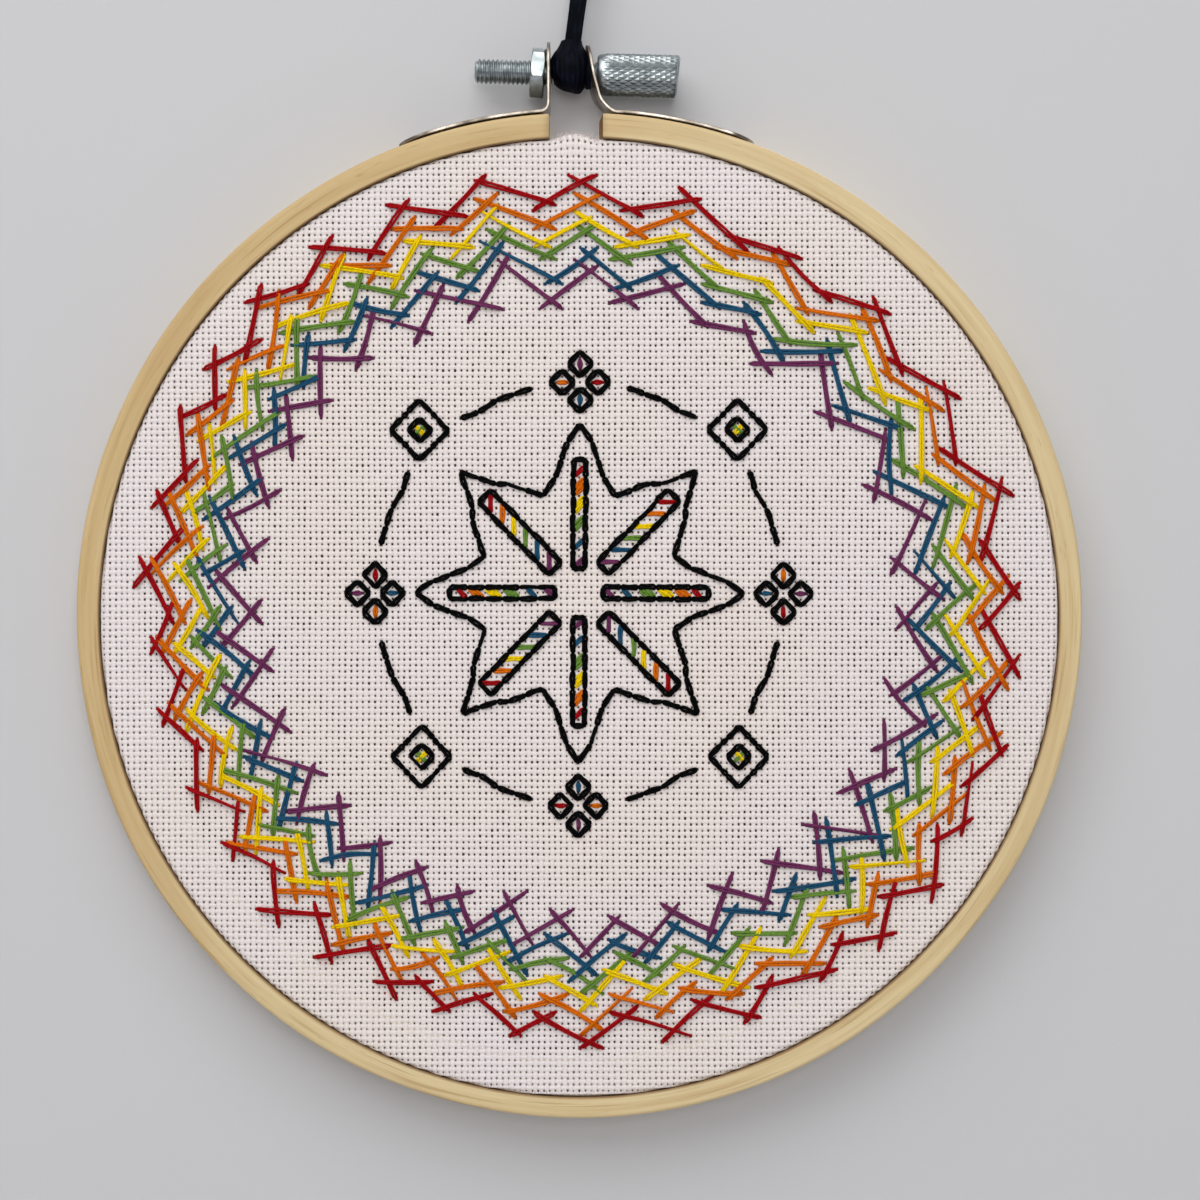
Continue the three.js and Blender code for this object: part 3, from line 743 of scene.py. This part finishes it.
turn = np.linspace(0, 2 * math.pi, 4, endpoint=False)
around_fibre = np.stack([np.cos(turn), np.sin(turn), 0 * turn], -1)
taper = (1.1 - s)[None, :, :, None]
fuzz = tubes(
    "cloth_fuzz", fibre_path[:, :, None] + FIBRE_RADIUS * taper * around_fibre, cotton
)
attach(fuzz, "hoop")

# ---- the split ring ----
# The outer hoop: a thicker bamboo strip bent round and left open at the top, so that the clamp can
# draw it shut. It is a little thicker at the top than at the bottom, and is joined by a long scarf.
OUTER_BORE, OUTER_RADIUS = 74.0, 77.5
RING_LIFT = 0.32  # the outside circle's middle above the bore's
OUTER_WOOD = {"light": "#DFCBA0", "middle": "#D6BF90", "dark": "#CBB082", "pore": "#A27C4C"}
# The darkest brown, #6E4A26, is partly a handling stain at the bore's edge and partly painted shade
# of the crevice to the cloth.
OUTER_WOOD |= {"cane": "#F0E8DC", "stain_and_painted_shade": "#6E4A26"}
BORE_EDGE = 0.22  # the bore's edges are left crisp, and the outside's are sanded round
# The sawn ends' colours are partly end grain's own darker tone and partly painted shade.
END_GRAIN_AND_SHADE = {"light": "#A5814F", "dark": "#6B4A2A"}
section = rounded_bar((OUTER_BORE, FRONT), (OUTER_RADIUS, BACK), (BORE_EDGE, WOOD_EDGE))
radius, depth = section.T
left_end = math.pi / 2 + np.arcsin(-GAP_LEFT / radius)
cut = GAP_RIGHT - GAP_SKEW * (depth - FRONT) / (BACK - FRONT)
right_end = 2.5 * math.pi - np.arcsin(cut / radius)
angle = left_end + np.linspace(0, 1, 360)[:, None] * (right_end - left_end)
wall = (
    RING_LIFT * np.sin(angle)
    + np.sqrt(OUTER_RADIUS**2 - (RING_LIFT * np.cos(angle)) ** 2)
    - OUTER_BORE
)
share = (radius - OUTER_BORE) / (OUTER_RADIUS - OUTER_BORE)
ripple = 0.04 * np.sin(5 * angle + 0.6) + 0.03 * np.sin(11 * angle)
split_ring = tubes(
    "split_ring_wood",
    round_section(OUTER_BORE + share * (wall + ripple), depth, angle)[None],
    bamboo_finish("bamboo_sanded", OUTER_WOOD, 0.55, ("radius", OUTER_BORE)),
)


def end_grain_finish():
    """Sawn end grain: open pores drink the light, so it is darker and duller than the sides. Its
    colour is also painted darker for the shade on the sawn ends in the gap.
    """
    material, shader = new_finish("bamboo_end_grain", Roughness=0.85, Specular_IOR_Level=0.15)
    place = add(material, "ShaderNodeTexCoord", {})["Object"]
    pores = mottle(material, place, 0.3, 2.0)
    colour = blend(material, pores, linear(END_GRAIN_AND_SHADE["dark"]), linear(END_GRAIN_AND_SHADE["light"]))
    dress(material, shader, Base_Color=colour)
    return material


split_ring.data.materials.append(end_grain_finish())
for sawn_end in split_ring.data.polygons[-2:]:
    sawn_end.material_index = 1
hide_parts("outer_hoop")
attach(split_ring, "hoop")

# ---- the clamp ----
# Two strips of nickelled steel, blanked with round ends and bent up into ears that the screw
# passes. Each is nailed to the ring near its tip, where the head shows as a pip.
STRIP_THICK, STRIP_WIDTH, STRIP_END = 0.5, 8.0, 28.0
STRIP_GAP = 0.3  # between a strip and the ring
STRIP_RADIUS = OUTER_RADIUS + STRIP_GAP + STRIP_THICK / 2
LEFT_EAR_X, LEFT_EAR_TOP, EAR_BEND = -4.77, 89.5, 1.5
RIGHT_EAR_YAW = 0.096  # leftwards for each millimetre towards the back
RIGHT_EAR = ((1.55, 89.0), (1.76, 87.0), (2.13, 84.5), (2.75, 82.0), (3.47, 79.9))
PIPS = (-23.7, 24.9)
PIP_RADIUS, PIP_HEIGHT = 0.8, 0.45
NICKEL = {"bright": "#ADA498", "dull": "#6A6056"}


def on_ring(x):
    """The height of the strip's middle where it lies along the split ring."""
    return RING_LIFT + np.sqrt(STRIP_RADIUS**2 - np.asarray(x) ** 2)


def through(points, count):
    """A smooth line through points: cubic pieces whose slope at each point is that between its
    neighbours, sampled evenly by number."""
    points = np.asarray(points, float)
    ends = np.concatenate([2 * points[:1] - points[1:2], points, 2 * points[-1:] - points[-2:-1]])
    place = np.linspace(0, len(points) - 1, count)
    i = np.minimum(place.astype(int), len(points) - 2)
    f = (place - i)[:, None]
    p0, p1, p2, p3 = (ends[i + k] for k in range(4))
    return 0.5 * (
        2 * p1
        + (p2 - p0) * f
        + (2 * p0 - 5 * p1 + 4 * p2 - p3) * f**2
        + (3 * p1 - p0 - 3 * p2 + p3) * f**3
    )


def evenly(line, count):
    """A line's points moved along it to equal spacing."""
    along = np.concatenate([[0], np.cumsum(np.linalg.norm(np.diff(line, axis=0), axis=1))])
    at = np.linspace(0, along[-1], count)
    return np.stack([np.interp(at, along, part) for part in line.T], -1)


def strip(line, side):
    """A flat strip bent along a line in X and Z. Its half width is a round's chord near the ear's
    top and near the tongue's tip, and full between them. Its edges are rolled a little round."""
    line = evenly(line, 150)
    tangent = np.gradient(line, axis=0)
    tangent /= np.linalg.norm(tangent, axis=1, keepdims=True)
    along = np.concatenate([[0], np.cumsum(np.linalg.norm(np.diff(line, axis=0), axis=1))])
    half = STRIP_WIDTH / 2
    from_end = np.minimum(along, along[-1] - along) + 0.02
    width = np.sqrt(np.maximum(half**2 - np.maximum(half - from_end, 0) ** 2, 0.05))
    loop = rounded_bar((-STRIP_THICK / 2, -half), (STRIP_THICK / 2, half), 0.12, 3)
    out = np.stack([-tangent[:, 1], np.zeros(len(line)), tangent[:, 0]], -1)
    y = np.sign(loop[:, 1]) * np.maximum(np.abs(loop[:, 1]) - half + width[:, None], 0)
    points = np.stack([line[:, 0], np.zeros(len(line)), line[:, 1]], -1)[:, None]
    forward = np.array((0.0, -1.0, 0.0))  # along times out
    points = points + out[:, None] * loop[:, :1] + forward * y[..., None]
    if side > 0:
        foot = RIGHT_EAR[-1][1] - 1.0
        up = np.clip((points[..., 2] - foot) / 3, 0, 1)
        points[..., 0] -= up * up * (3 - 2 * up) * RIGHT_EAR_YAW * (points[..., 1] + half)
    return points


def pressed_steel_finish():
    """Mild steel, blanked, bent and plated with thin nickel: warm grey, half bright, with fine
    draw lines along the strip and dull handling marks."""
    material, shader = new_finish("nickelled_steel", Metallic=1.0)
    place = add(material, "ShaderNodeTexCoord", {})["Object"]
    long_place = add(
        material, "ShaderNodeVectorMath", {0: place, 1: (1.0, 9.0, 1.0)}, operation="MULTIPLY"
    )[0]
    lines = mottle(material, long_place, 1.2, 3.0)
    marks = mottle(material, place, 2.5, 4.0)
    colour = blend(
        material, span(material, marks, 0.35, 0.7), linear(NICKEL["bright"]), linear(NICKEL["dull"])
    )
    gloss = span(material, marks, 0.3, 0.7, 0.24, 0.42)
    bump = ridges(material, lines, 0.12, 0.02)
    dress(material, shader, Base_Color=colour, Roughness=gloss, Normal=bump)
    return material


nickel = pressed_steel_finish()
foot = np.array((LEFT_EAR_X - EAR_BEND, float(on_ring(LEFT_EAR_X - EAR_BEND))))
bend = np.linspace(0, 1, 8)[:, None]
left_line = np.concatenate(
    [
        [(LEFT_EAR_X, LEFT_EAR_TOP)],
        (1 - bend) ** 2 * (LEFT_EAR_X, foot[1] + EAR_BEND)
        + 2 * bend * (1 - bend) * (LEFT_EAR_X, foot[1])
        + bend**2 * foot,
        [(x, float(on_ring(x))) for x in np.linspace(foot[0] - 1.0, -STRIP_END, 24)],
    ]
)
right_line = np.concatenate(
    [
        through([*RIGHT_EAR, *((x, float(on_ring(x))) for x in (5.3, 7.3))], 40),
        [(x, float(on_ring(x))) for x in np.linspace(8.3, STRIP_END - 0.9, 24)],
    ]
)
for name, line, side, pip_x in (
    ("clamp_left", left_line, -1, PIPS[0]),
    ("clamp_right", right_line, 1, PIPS[1]),
):
    made = tubes(name + "_steel", strip(line, side)[None], nickel)
    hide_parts(name)
    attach(made, "hoop")
    rise = OUTER_RADIUS + STRIP_GAP + STRIP_THICK
    lean = math.asin(pip_x / rise)
    up = np.linspace(-0.5, 1, 9)[:, None] * math.pi / 2
    turn = np.linspace(0, 2 * math.pi, 20, endpoint=False)
    ring_radius = np.maximum(PIP_RADIUS * np.cos(up), 0.01)
    ball = np.stack(
        np.broadcast_arrays(
            ring_radius * np.cos(turn), ring_radius * np.sin(turn), PIP_HEIGHT * np.sin(up)
        ),
        -1,
    )
    leaning = np.array(
        ((math.cos(lean), 0, math.sin(lean)), (0, 1, 0), (-math.sin(lean), 0, math.cos(lean)))
    )
    ball = ball @ leaning.T + (pip_x, 0, RING_LIFT + math.sqrt(rise**2 - pip_x**2))
    head = tubes(name + "_pip", ball[None], nickel)
    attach(head, "hoop")

# ---- the screw and its nut ----
# An M4 thumbscrew of zinc-plated steel with a long knurled knob, turned in one piece, and a thin
# hexagon nut run up to the left ear. The knot of the ribbon hides the thread between the ears.
SCREW_HEIGHT, SCREW_SLOPE = 84.56, math.radians(1.6)
SCREW_MAJOR, SCREW_MINOR, SCREW_PITCH = 1.93, 1.6, 0.7
SCREW_START, KNOB_START, KNOB_END = -16.25, 2.75, 15.68
KNOB_RADIUS, KNOB_NOSE, KNOB_CHAMFER = 3.35, 2.3, 0.35
NOSE_RADIUS = 2.7  # of the knob's flat where the nose begins
KNURL_STARTS, KNURL_LENGTH, KNURL_DEPTH = 24, 1.62, 0.2
KNOB_OUT_OF_SQUARE = 0.085  # how far its end was cut askew, for each millimetre of height
NUT_LEFT, NUT_THICK, NUT_FLATS, NUT_TILT = -7.5, 2.1, 7.3, math.radians(3)
NUT_CROWN, NUT_ROLL = 0.14, math.radians(12)  # its flats are crowned, and the front one looks up
ZINC = {"bright": "#AEB5B7", "dull": "#7C8588"}


def along_screw(radius, place, turn, tilt=0.0):
    """Points at a radius and a turn about the screw's axis, at a place along it, which slopes
    down to the right. The tilt leans them about their own middle."""
    x, y, z = np.broadcast_arrays(place, radius * np.cos(turn), radius * np.sin(turn))
    middle = x.mean()
    x, z = (
        middle + (x - middle) * math.cos(tilt) + z * math.sin(tilt),
        z * math.cos(tilt) - (x - middle) * math.sin(tilt),
    )
    return np.stack(
        [
            x * math.cos(SCREW_SLOPE) + z * math.sin(SCREW_SLOPE),
            y,
            SCREW_HEIGHT - x * math.sin(SCREW_SLOPE) + z * math.cos(SCREW_SLOPE),
        ],
        -1,
    )


def zinc_finish():
    """Turned steel with bright zinc plate: cool grey, glossy but not a mirror, with faint turning
    lines and duller patches where it has been handled."""
    material, shader = new_finish("zinc_plated_steel", Metallic=1.0)
    place = add(material, "ShaderNodeTexCoord", {})["Object"]
    cloud = mottle(material, place, 1.6, 4.0)
    colour = blend(
        material, span(material, cloud, 0.4, 0.7), linear(ZINC["bright"]), linear(ZINC["dull"])
    )
    gloss = span(material, cloud, 0.3, 0.7, 0.26, 0.38)
    fine = mottle(material, place, 0.15, 1.0)
    bump = ridges(material, fine, 0.1, 0.02)
    dress(material, shader, Base_Color=colour, Roughness=gloss, Normal=bump)
    return material


zinc = zinc_finish()
turn = np.linspace(0, 2 * math.pi, 48, endpoint=False)
# The thread's rows follow its helix: each point moves along with its turn, up to the screw's ends.
rows = np.arange(SCREW_START - SCREW_PITCH, KNOB_START + SCREW_PITCH, SCREW_PITCH / 8)[:, None]
place = np.clip(rows + SCREW_PITCH * turn / (2 * math.pi), SCREW_START, KNOB_START + 0.1)
phase = (rows / SCREW_PITCH) % 1
ridge = np.clip(1.35 * (1 - np.abs(2 * phase - 1)) - 0.15, 0, 1)
radius = SCREW_MINOR + (SCREW_MAJOR - SCREW_MINOR) * ridge
radius = np.minimum(radius, SCREW_MINOR - 0.2 + (place - SCREW_START) * 1.2)
thread_rod = tubes("screw_thread", along_screw(radius, place, turn)[None], zinc)

# The knob is round, with two families of V grooves that cross: on each the depth is one less the
# distance from the groove, and the deeper of the two holds. The nose and the end stay smooth.
knob_turn = np.linspace(0, 2 * math.pi, 12 * KNURL_STARTS, endpoint=False)
nose = np.linspace(0, 1, 15)[:-1, None] * math.pi / 2
nose_place = KNOB_START + KNOB_NOSE * (1 - np.cos(nose))
body_place = np.arange(KNOB_START + KNOB_NOSE, KNOB_END - KNOB_CHAMFER, KNURL_LENGTH / 12)[:, None]
knob_place = np.concatenate(
    [nose_place, body_place, [[KNOB_END - KNOB_CHAMFER], [KNOB_END - 0.03], [KNOB_END]]]
)
knob_radius = np.concatenate(
    [
        NOSE_RADIUS + (KNOB_RADIUS - NOSE_RADIUS) * np.sin(nose),
        np.full_like(body_place, KNOB_RADIUS),
        [[KNOB_RADIUS], [KNOB_RADIUS - KNOB_CHAMFER], [KNOB_RADIUS - KNOB_CHAMFER - 0.1]],
    ]
)
knurled = np.clip((knob_place - KNOB_START - 0.7) / 1.1, 0, 1) * (
    knob_place < KNOB_END - KNOB_CHAMFER - 0.05
)
grooves = []
for hand in (-1, 1):
    wave = (
        KNURL_STARTS * knob_turn / (2 * math.pi)
        + hand * (knob_place - KNOB_START) / KNURL_LENGTH
    ) % 1
    grooves.append(1 - 2 * np.minimum(wave, 1 - wave))
knob_radius = knob_radius - KNURL_DEPTH * knurled * np.maximum(*grooves)
askew = np.clip((knob_place - KNOB_END + 3) / 3, 0, 1) ** 2
knob_place = knob_place + KNOB_OUT_OF_SQUARE * askew * (
    knob_radius * np.sin(knob_turn) - KNOB_RADIUS
)
knob = tubes("thumbscrew_knob", along_screw(knob_radius, knob_place, knob_turn)[None], zinc)
knob.data.polygons.foreach_set("use_smooth", np.zeros(len(knob.data.polygons), bool))
for made in (thread_rod, knob):
    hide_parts("thumbscrew")
    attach(made, "thumbscrew")

# The nut's radius is that of its flat at each turn, or of the chamfer's cone where that is less.
nut_turn = np.linspace(0, 2 * math.pi, 120, endpoint=False)
off_flat = (nut_turn + NUT_ROLL + math.pi / 6) % (math.pi / 3) - math.pi / 6
flat_radius = NUT_FLATS / 2 / np.cos(off_flat)
flat_radius += NUT_CROWN * (1 - 3 * np.tan(off_flat) ** 2)
flat_radius = np.minimum(flat_radius, NUT_FLATS / math.sqrt(3) - 0.06)
nut_place = np.array((0.0, 0.0, 0.1, 0.25, 0.4, 0.7, 1.4, 1.7, 1.85, 2.0, 2.1, 2.1))[:, None]
from_face = np.minimum(nut_place, NUT_THICK - nut_place)
nut_radius = np.minimum(flat_radius, NUT_FLATS / 2 + 0.2 + from_face * 1.7)
nut_radius[[0, -1]] = SCREW_MAJOR + 0.05
hex_nut = tubes(
    "hex_nut_steel",
    along_screw(nut_radius, nut_place + NUT_LEFT, nut_turn, NUT_TILT)[None],
    zinc,
)
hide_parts("hex_nut")
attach(hex_nut, "hoop")

# ---- the ribbon ----
# A narrow black satin ribbon, doubled, hitched round the screw between the ears and pulled tight
# into a knot. Its two strands rise together, open out and go over the hook in one loop.
RIBBON_WIDTH, RIBBON_THICK, RIBBON_LEAN, CROWN_RADIUS = 2.5, 0.5, 0.133, 4.5
HOOK = -HOOP_CENTRE  # the hook from the hoop's centre
# Height from the hook, half the distance between the strands, and how far the pair has turned
# from lying front and back to lying left and right, in degrees.
RIBBON_ROWS = np.array(
    (
        (-43.7, 0.5, 0),
        (-40.6, 0.5, 0),
        (-38.0, 0.5, 3),
        (-34.0, 0.62, 14),
        (-30.0, 0.95, 32),
        (-25.0, 1.55, 56),
        (-19.0, 2.45, 76),
        (-13.0, 3.4, 86),
        (-8.0, 4.15, 90),
    )
)
# The knot from the bottom up: height, left and right sides, and half its depth along Y.
KNOT_ROWS = np.array(
    (
        (81.85, -2.6, -0.1, 0.9),
        (82.00, -3.2, 0.2, 1.7),
        (82.40, -3.7, 0.5, 2.4),
        (83.20, -4.3, 0.95, 3.0),
        (84.20, -4.5, 1.25, 3.3),
        (85.50, -4.52, 1.45, 3.4),
        (86.70, -4.5, 1.48, 3.0),
        (87.50, -4.15, 1.25, 2.6),
        (88.30, -3.55, 0.85, 2.1),
        (89.10, -3.1, 0.5, 1.6),
        (89.45, -2.95, 0.42, 1.4),
        (89.70, -2.8, 0.35, 1.25),
        (89.85, -2.5, 0.2, 1.0),
    )
)
KNOT_SLANT = -0.235  # its underside drops to the right, for each millimetre
# The sheen colour is a painted sheen, for the light that the floats catch.
SATIN = {"face": "#02030A", "painted_sheen": "#161B2C"}


def satin_finish(lines_along):
    """Black polyester satin: blue-black, with long floats whose catch of the light is painted as
    fine bright lines, a painted sheen. lines_along says whether they run along the mesh or round it."""
    material, shader = new_finish(
        "satin_ribbon_" + ("loop" if lines_along else "knot"),
        Roughness=0.6,
        Specular_IOR_Level=0.05,
    )
    wrap = add(material, "ShaderNodeUVMap", {}, uv_map="wrap")[0]
    scale = (0.35, 34.0, 1.0) if lines_along else (0.4, 60.0, 1.0)
    stretched = add(
        material, "ShaderNodeVectorMath", {0: wrap, 1: scale}, operation="MULTIPLY"
    )[0]
    floats = add(
        material, "ShaderNodeTexNoise", {"Vector": stretched, "Scale": 1.0, "Detail": 2.0}
    )[0]
    # Painted sheen: the face is lightened to the sheen colour along the float lines.
    colour = blend(
        material,
        span(material, floats, 0.45, 0.8, high=0.7),
        linear(SATIN["face"]),
        linear(SATIN["painted_sheen"]),
    )
    bump = ridges(material, floats, 0.5, 0.08)
    dress(material, shader, Base_Color=colour, Normal=bump)
    return material


# The knot's rows are ellipses, squarer where the ribbon passes over the screw: the cosine and sine
# are raised to a power below one. Turns of ribbon stand out as uneven ridges that run up and down.
knot_rows = through(KNOT_ROWS, 64)
height, left, right, deep = (part[:, None] for part in knot_rows.T)
turn = np.linspace(0, 2 * math.pi, 144, endpoint=False)
ridge_turn = turn + 0.25 * np.sin(turn) + 0.012 * (height - SCREW_HEIGHT)
fold = np.abs(np.sin(7.5 * ridge_turn + 0.8 * np.sin(3 * turn) + 0.25 * (height - 85))) ** 0.6 - 0.6
fold = fold + 0.4 * (np.abs(np.sin(15 * ridge_turn + 1.3)) - 0.6)
knot_size = 1 + 0.035 * (fold - 0.2) * np.clip((89.8 - height) / 2, 0.2, 1)
square = 1 - 0.45 * np.clip(1 - ((height - SCREW_HEIGHT) / 4) ** 2, 0, 1)
wide = np.sign(np.cos(turn)) * np.abs(np.cos(turn)) ** square
thick = np.sign(np.sin(turn)) * np.abs(np.sin(turn)) ** square
knot_x = (left + right) / 2 + (right - left) / 2 * wide * knot_size
low = np.clip((SCREW_HEIGHT + 0.3 - height) / 3, 0, 1)
knot_points = np.stack(
    np.broadcast_arrays(
        knot_x,
        deep * thick * knot_size,
        height + low * (KNOT_SLANT * (knot_x + 1.4) + 0.12 * fold),
    ),
    -1,
)
satin_round = satin_finish(False)
knot = tubes("ribbon_knot", knot_points[None], satin_round)
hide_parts("cord_knot")
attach(knot, "hoop")

# One more turn of the ribbon lies round the screw beside the right ear, and leans with the ear.
TURN_MIDDLE, TURN_HALF = 1.52, 0.38
turn_across = rounded_bar((-TURN_HALF, -0.25), (TURN_HALF, 0.25), 0.15, 3)
around_screw = np.linspace(0, 2 * math.pi, 48, endpoint=False)[:, None]
turn_radius = 2.15 + turn_across[:, 1]
turn_y = turn_radius * np.cos(around_screw) * 0.95
turn_z = turn_radius * np.sin(around_screw)
turn_x = TURN_MIDDLE + turn_across[:, 0] - RIGHT_EAR_YAW * (turn_y + 4) - 0.11 * turn_z
extra_turn = tubes(
    "ribbon_turn",
    np.stack([turn_x, turn_y, SCREW_HEIGHT + turn_z], -1)[None],
    satin_round,
    ring=True,
)
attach(extra_turn, "hoop")

z, apart, turned = RIBBON_ROWS.T
turned = np.radians(turned)


def strand_points(side):
    """One strand from the knot up: along the lean, half the spacing off it, turned as a pair."""
    return np.stack(
        [RIBBON_LEAN * z + side * apart * np.sin(turned), side * apart * np.cos(turned), z], -1
    )


crown_angle = np.radians((180, 135, 90, 45, 0))
crown = np.stack(
    [
        CROWN_RADIUS * np.cos(crown_angle),
        0 * crown_angle,
        RIBBON_THICK / 2 - CROWN_RADIUS + CROWN_RADIUS * np.sin(crown_angle),
    ],
    -1,
)
route = np.concatenate([strand_points(-1), crown, strand_points(1)[::-1]])
route_turn = np.concatenate([turned, np.full(5, math.pi / 2), turned[::-1]])[:, None]
guide = through(np.concatenate([route, route_turn], 1), 600)
guide = evenly(guide, 240)
ribbon_path, width_turn = guide[:, :3], guide[:, 3]
tangent = np.gradient(ribbon_path, axis=0)
tangent /= np.linalg.norm(tangent, axis=1, keepdims=True)
across = np.stack([np.cos(width_turn), -np.sin(width_turn), 0 * width_turn], -1)
across -= (across * tangent).sum(1, keepdims=True) * tangent
across /= np.linalg.norm(across, axis=1, keepdims=True)
through_it = np.cross(tangent, across)
loop = rounded_bar((-RIBBON_WIDTH / 2, -0.2), (RIBBON_WIDTH / 2, 0.2), 0.12, 3)
cup = 0.1 * (1 - (2 * loop[:, 0] / RIBBON_WIDTH) ** 2)  # the ribbon cups a little across
ribbon_points = (
    ribbon_path[:, None]
    + across[:, None] * loop[:, :1]
    + through_it[:, None] * (loop[:, 1] + cup)[:, None]
)
ribbon = tubes("ribbon_loop", (ribbon_points + HOOK)[None], satin_finish(True))
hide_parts("cord_loop")
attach(ribbon, "hoop")

# ---- the wall, the floor and the light ----
# A plain pale wall that the hoop hangs flat against, with a floor below. Behind the cloth it is
# painted dark brown, a painted shade there. Seen from behind it is clear, and the lamp there
# shines through it, so that the hoop's back shows.
WALL_Y, WALL_TOP, FLOOR_DROP, FLOOR_DEPTH, STAGE_HALF = BACK + 0.4, 1200.0, 450.0, 2000.0, 1500.0
COVE_RADIUS = 120.0  # of the curve between the wall and the floor
STAGE = {"wall": "#CBCBCD", "behind": "#4E342C"}
cove_turn = np.linspace(0, math.pi / 2, 13)
cove_y = WALL_Y - COVE_RADIUS * (1 - np.cos(cove_turn))
cove_z = -FLOOR_DROP + COVE_RADIUS * (1 - np.sin(cove_turn))
stage_profile = np.concatenate(
    [
        [(WALL_Y, WALL_TOP), (WALL_Y, 200.0)],
        np.stack([cove_y, cove_z], -1),
        [(WALL_Y - FLOOR_DEPTH, -FLOOR_DROP)],
    ]
)
stage_x = np.array((-STAGE_HALF, STAGE_HALF))
stage_points = np.stack(
    np.broadcast_arrays(stage_x, stage_profile[:, :1], stage_profile[:, 1:]), -1
)
n = np.arange(len(stage_profile) - 1)[:, None] * 2
stage_faces = np.concatenate([n, n + 2, n + 3, n + 1], 1)
plaster, shader = new_finish("painted_plaster", Roughness=0.95, Specular_IOR_Level=0.1)
where = add(plaster, "ShaderNodeTexCoord", {})["Object"]
about = add(
    plaster, "ShaderNodeVectorMath", {0: where, 1: tuple(HOOP_CENTRE * MM)}, operation="SUBTRACT"
)[0]
distance = add(plaster, "ShaderNodeVectorMath", {0: about}, operation="LENGTH")["Value"]
# Painted shade: the wall within the cloth's circle takes the dark behind colour.
behind = maths(plaster, "LESS_THAN", distance, (CLOTH_RADIUS - 1) * MM)
shade = blend(plaster, behind, linear(STAGE["wall"]), linear(STAGE["behind"]))
dress(plaster, shader, Base_Color=shade)
clear = add(plaster, "ShaderNodeBsdfTransparent", {})[0]
from_behind = add(plaster, "ShaderNodeNewGeometry", {})["Backfacing"]
to_a_lamp = add(plaster, "ShaderNodeLightPath", {})["Is Shadow Ray"]
lets_by = maths(plaster, "MAXIMUM", from_behind, to_a_lamp)
mixed = add(plaster, "ShaderNodeMixShader", {0: lets_by, 1: shader.outputs[0], 2: clear})[0]
plaster.node_tree.links.new(
    mixed, plaster.node_tree.nodes["Material Output"].inputs["Surface"]
)
stage = put(
    "stage_wall_and_floor",
    stage_points,
    stage_faces.tolist(),
    np.zeros((stage_faces.size, 2)),
    plaster,
)


def soft_light(name, place, aim, size, watts, tint):
    """A square soft box at a place, facing a point, both in millimetres about the hoop."""
    lamp = bpy.data.lights.new(name, "AREA")
    lamp.energy, lamp.size, lamp.color = watts, size * MM, linear(tint)[:3]
    made = bpy.data.objects.new(name, lamp)
    made.location = (HOOP_CENTRE + place) * MM
    heading = np.array(aim, float) - place
    pitch = math.acos(-heading[2] / np.linalg.norm(heading))
    made.rotation_euler = (pitch, 0.0, math.atan2(-heading[0], heading[1]))
    bpy.context.scene.collection.objects.link(made)


soft_light("key_light", (-180, -620, 700), (0, 0, 0), 850, 6.0, "#FFFEFC")
soft_light("front_light", (60, -1000, 150), (0, 0, 60), 350, 1.9, "#FFFFFF")
soft_light("rear_light", (200, 900, 600), (0, 0, 0), 700, 9.0, "#F8FAFF")
world = bpy.data.worlds.new("studio")
world.use_nodes = True
# The room is brighter overhead than at eye level.
heading = add(world, "ShaderNodeTexCoord", {})["Generated"]
height = add(world, "ShaderNodeSeparateXYZ", {0: heading})[2]
sky = {0: height, 1: -0.1, 2: 0.9, 3: 0.3, 4: 0.78}
world.node_tree.links.new(
    add(world, "ShaderNodeMapRange", sky)[0], world.node_tree.nodes["Background"].inputs[1]
)
world.node_tree.nodes["Background"].inputs[0].default_value = linear("#DDDDDF")
bpy.context.scene.world = world
bpy.context.scene.view_settings.view_transform = "Standard"
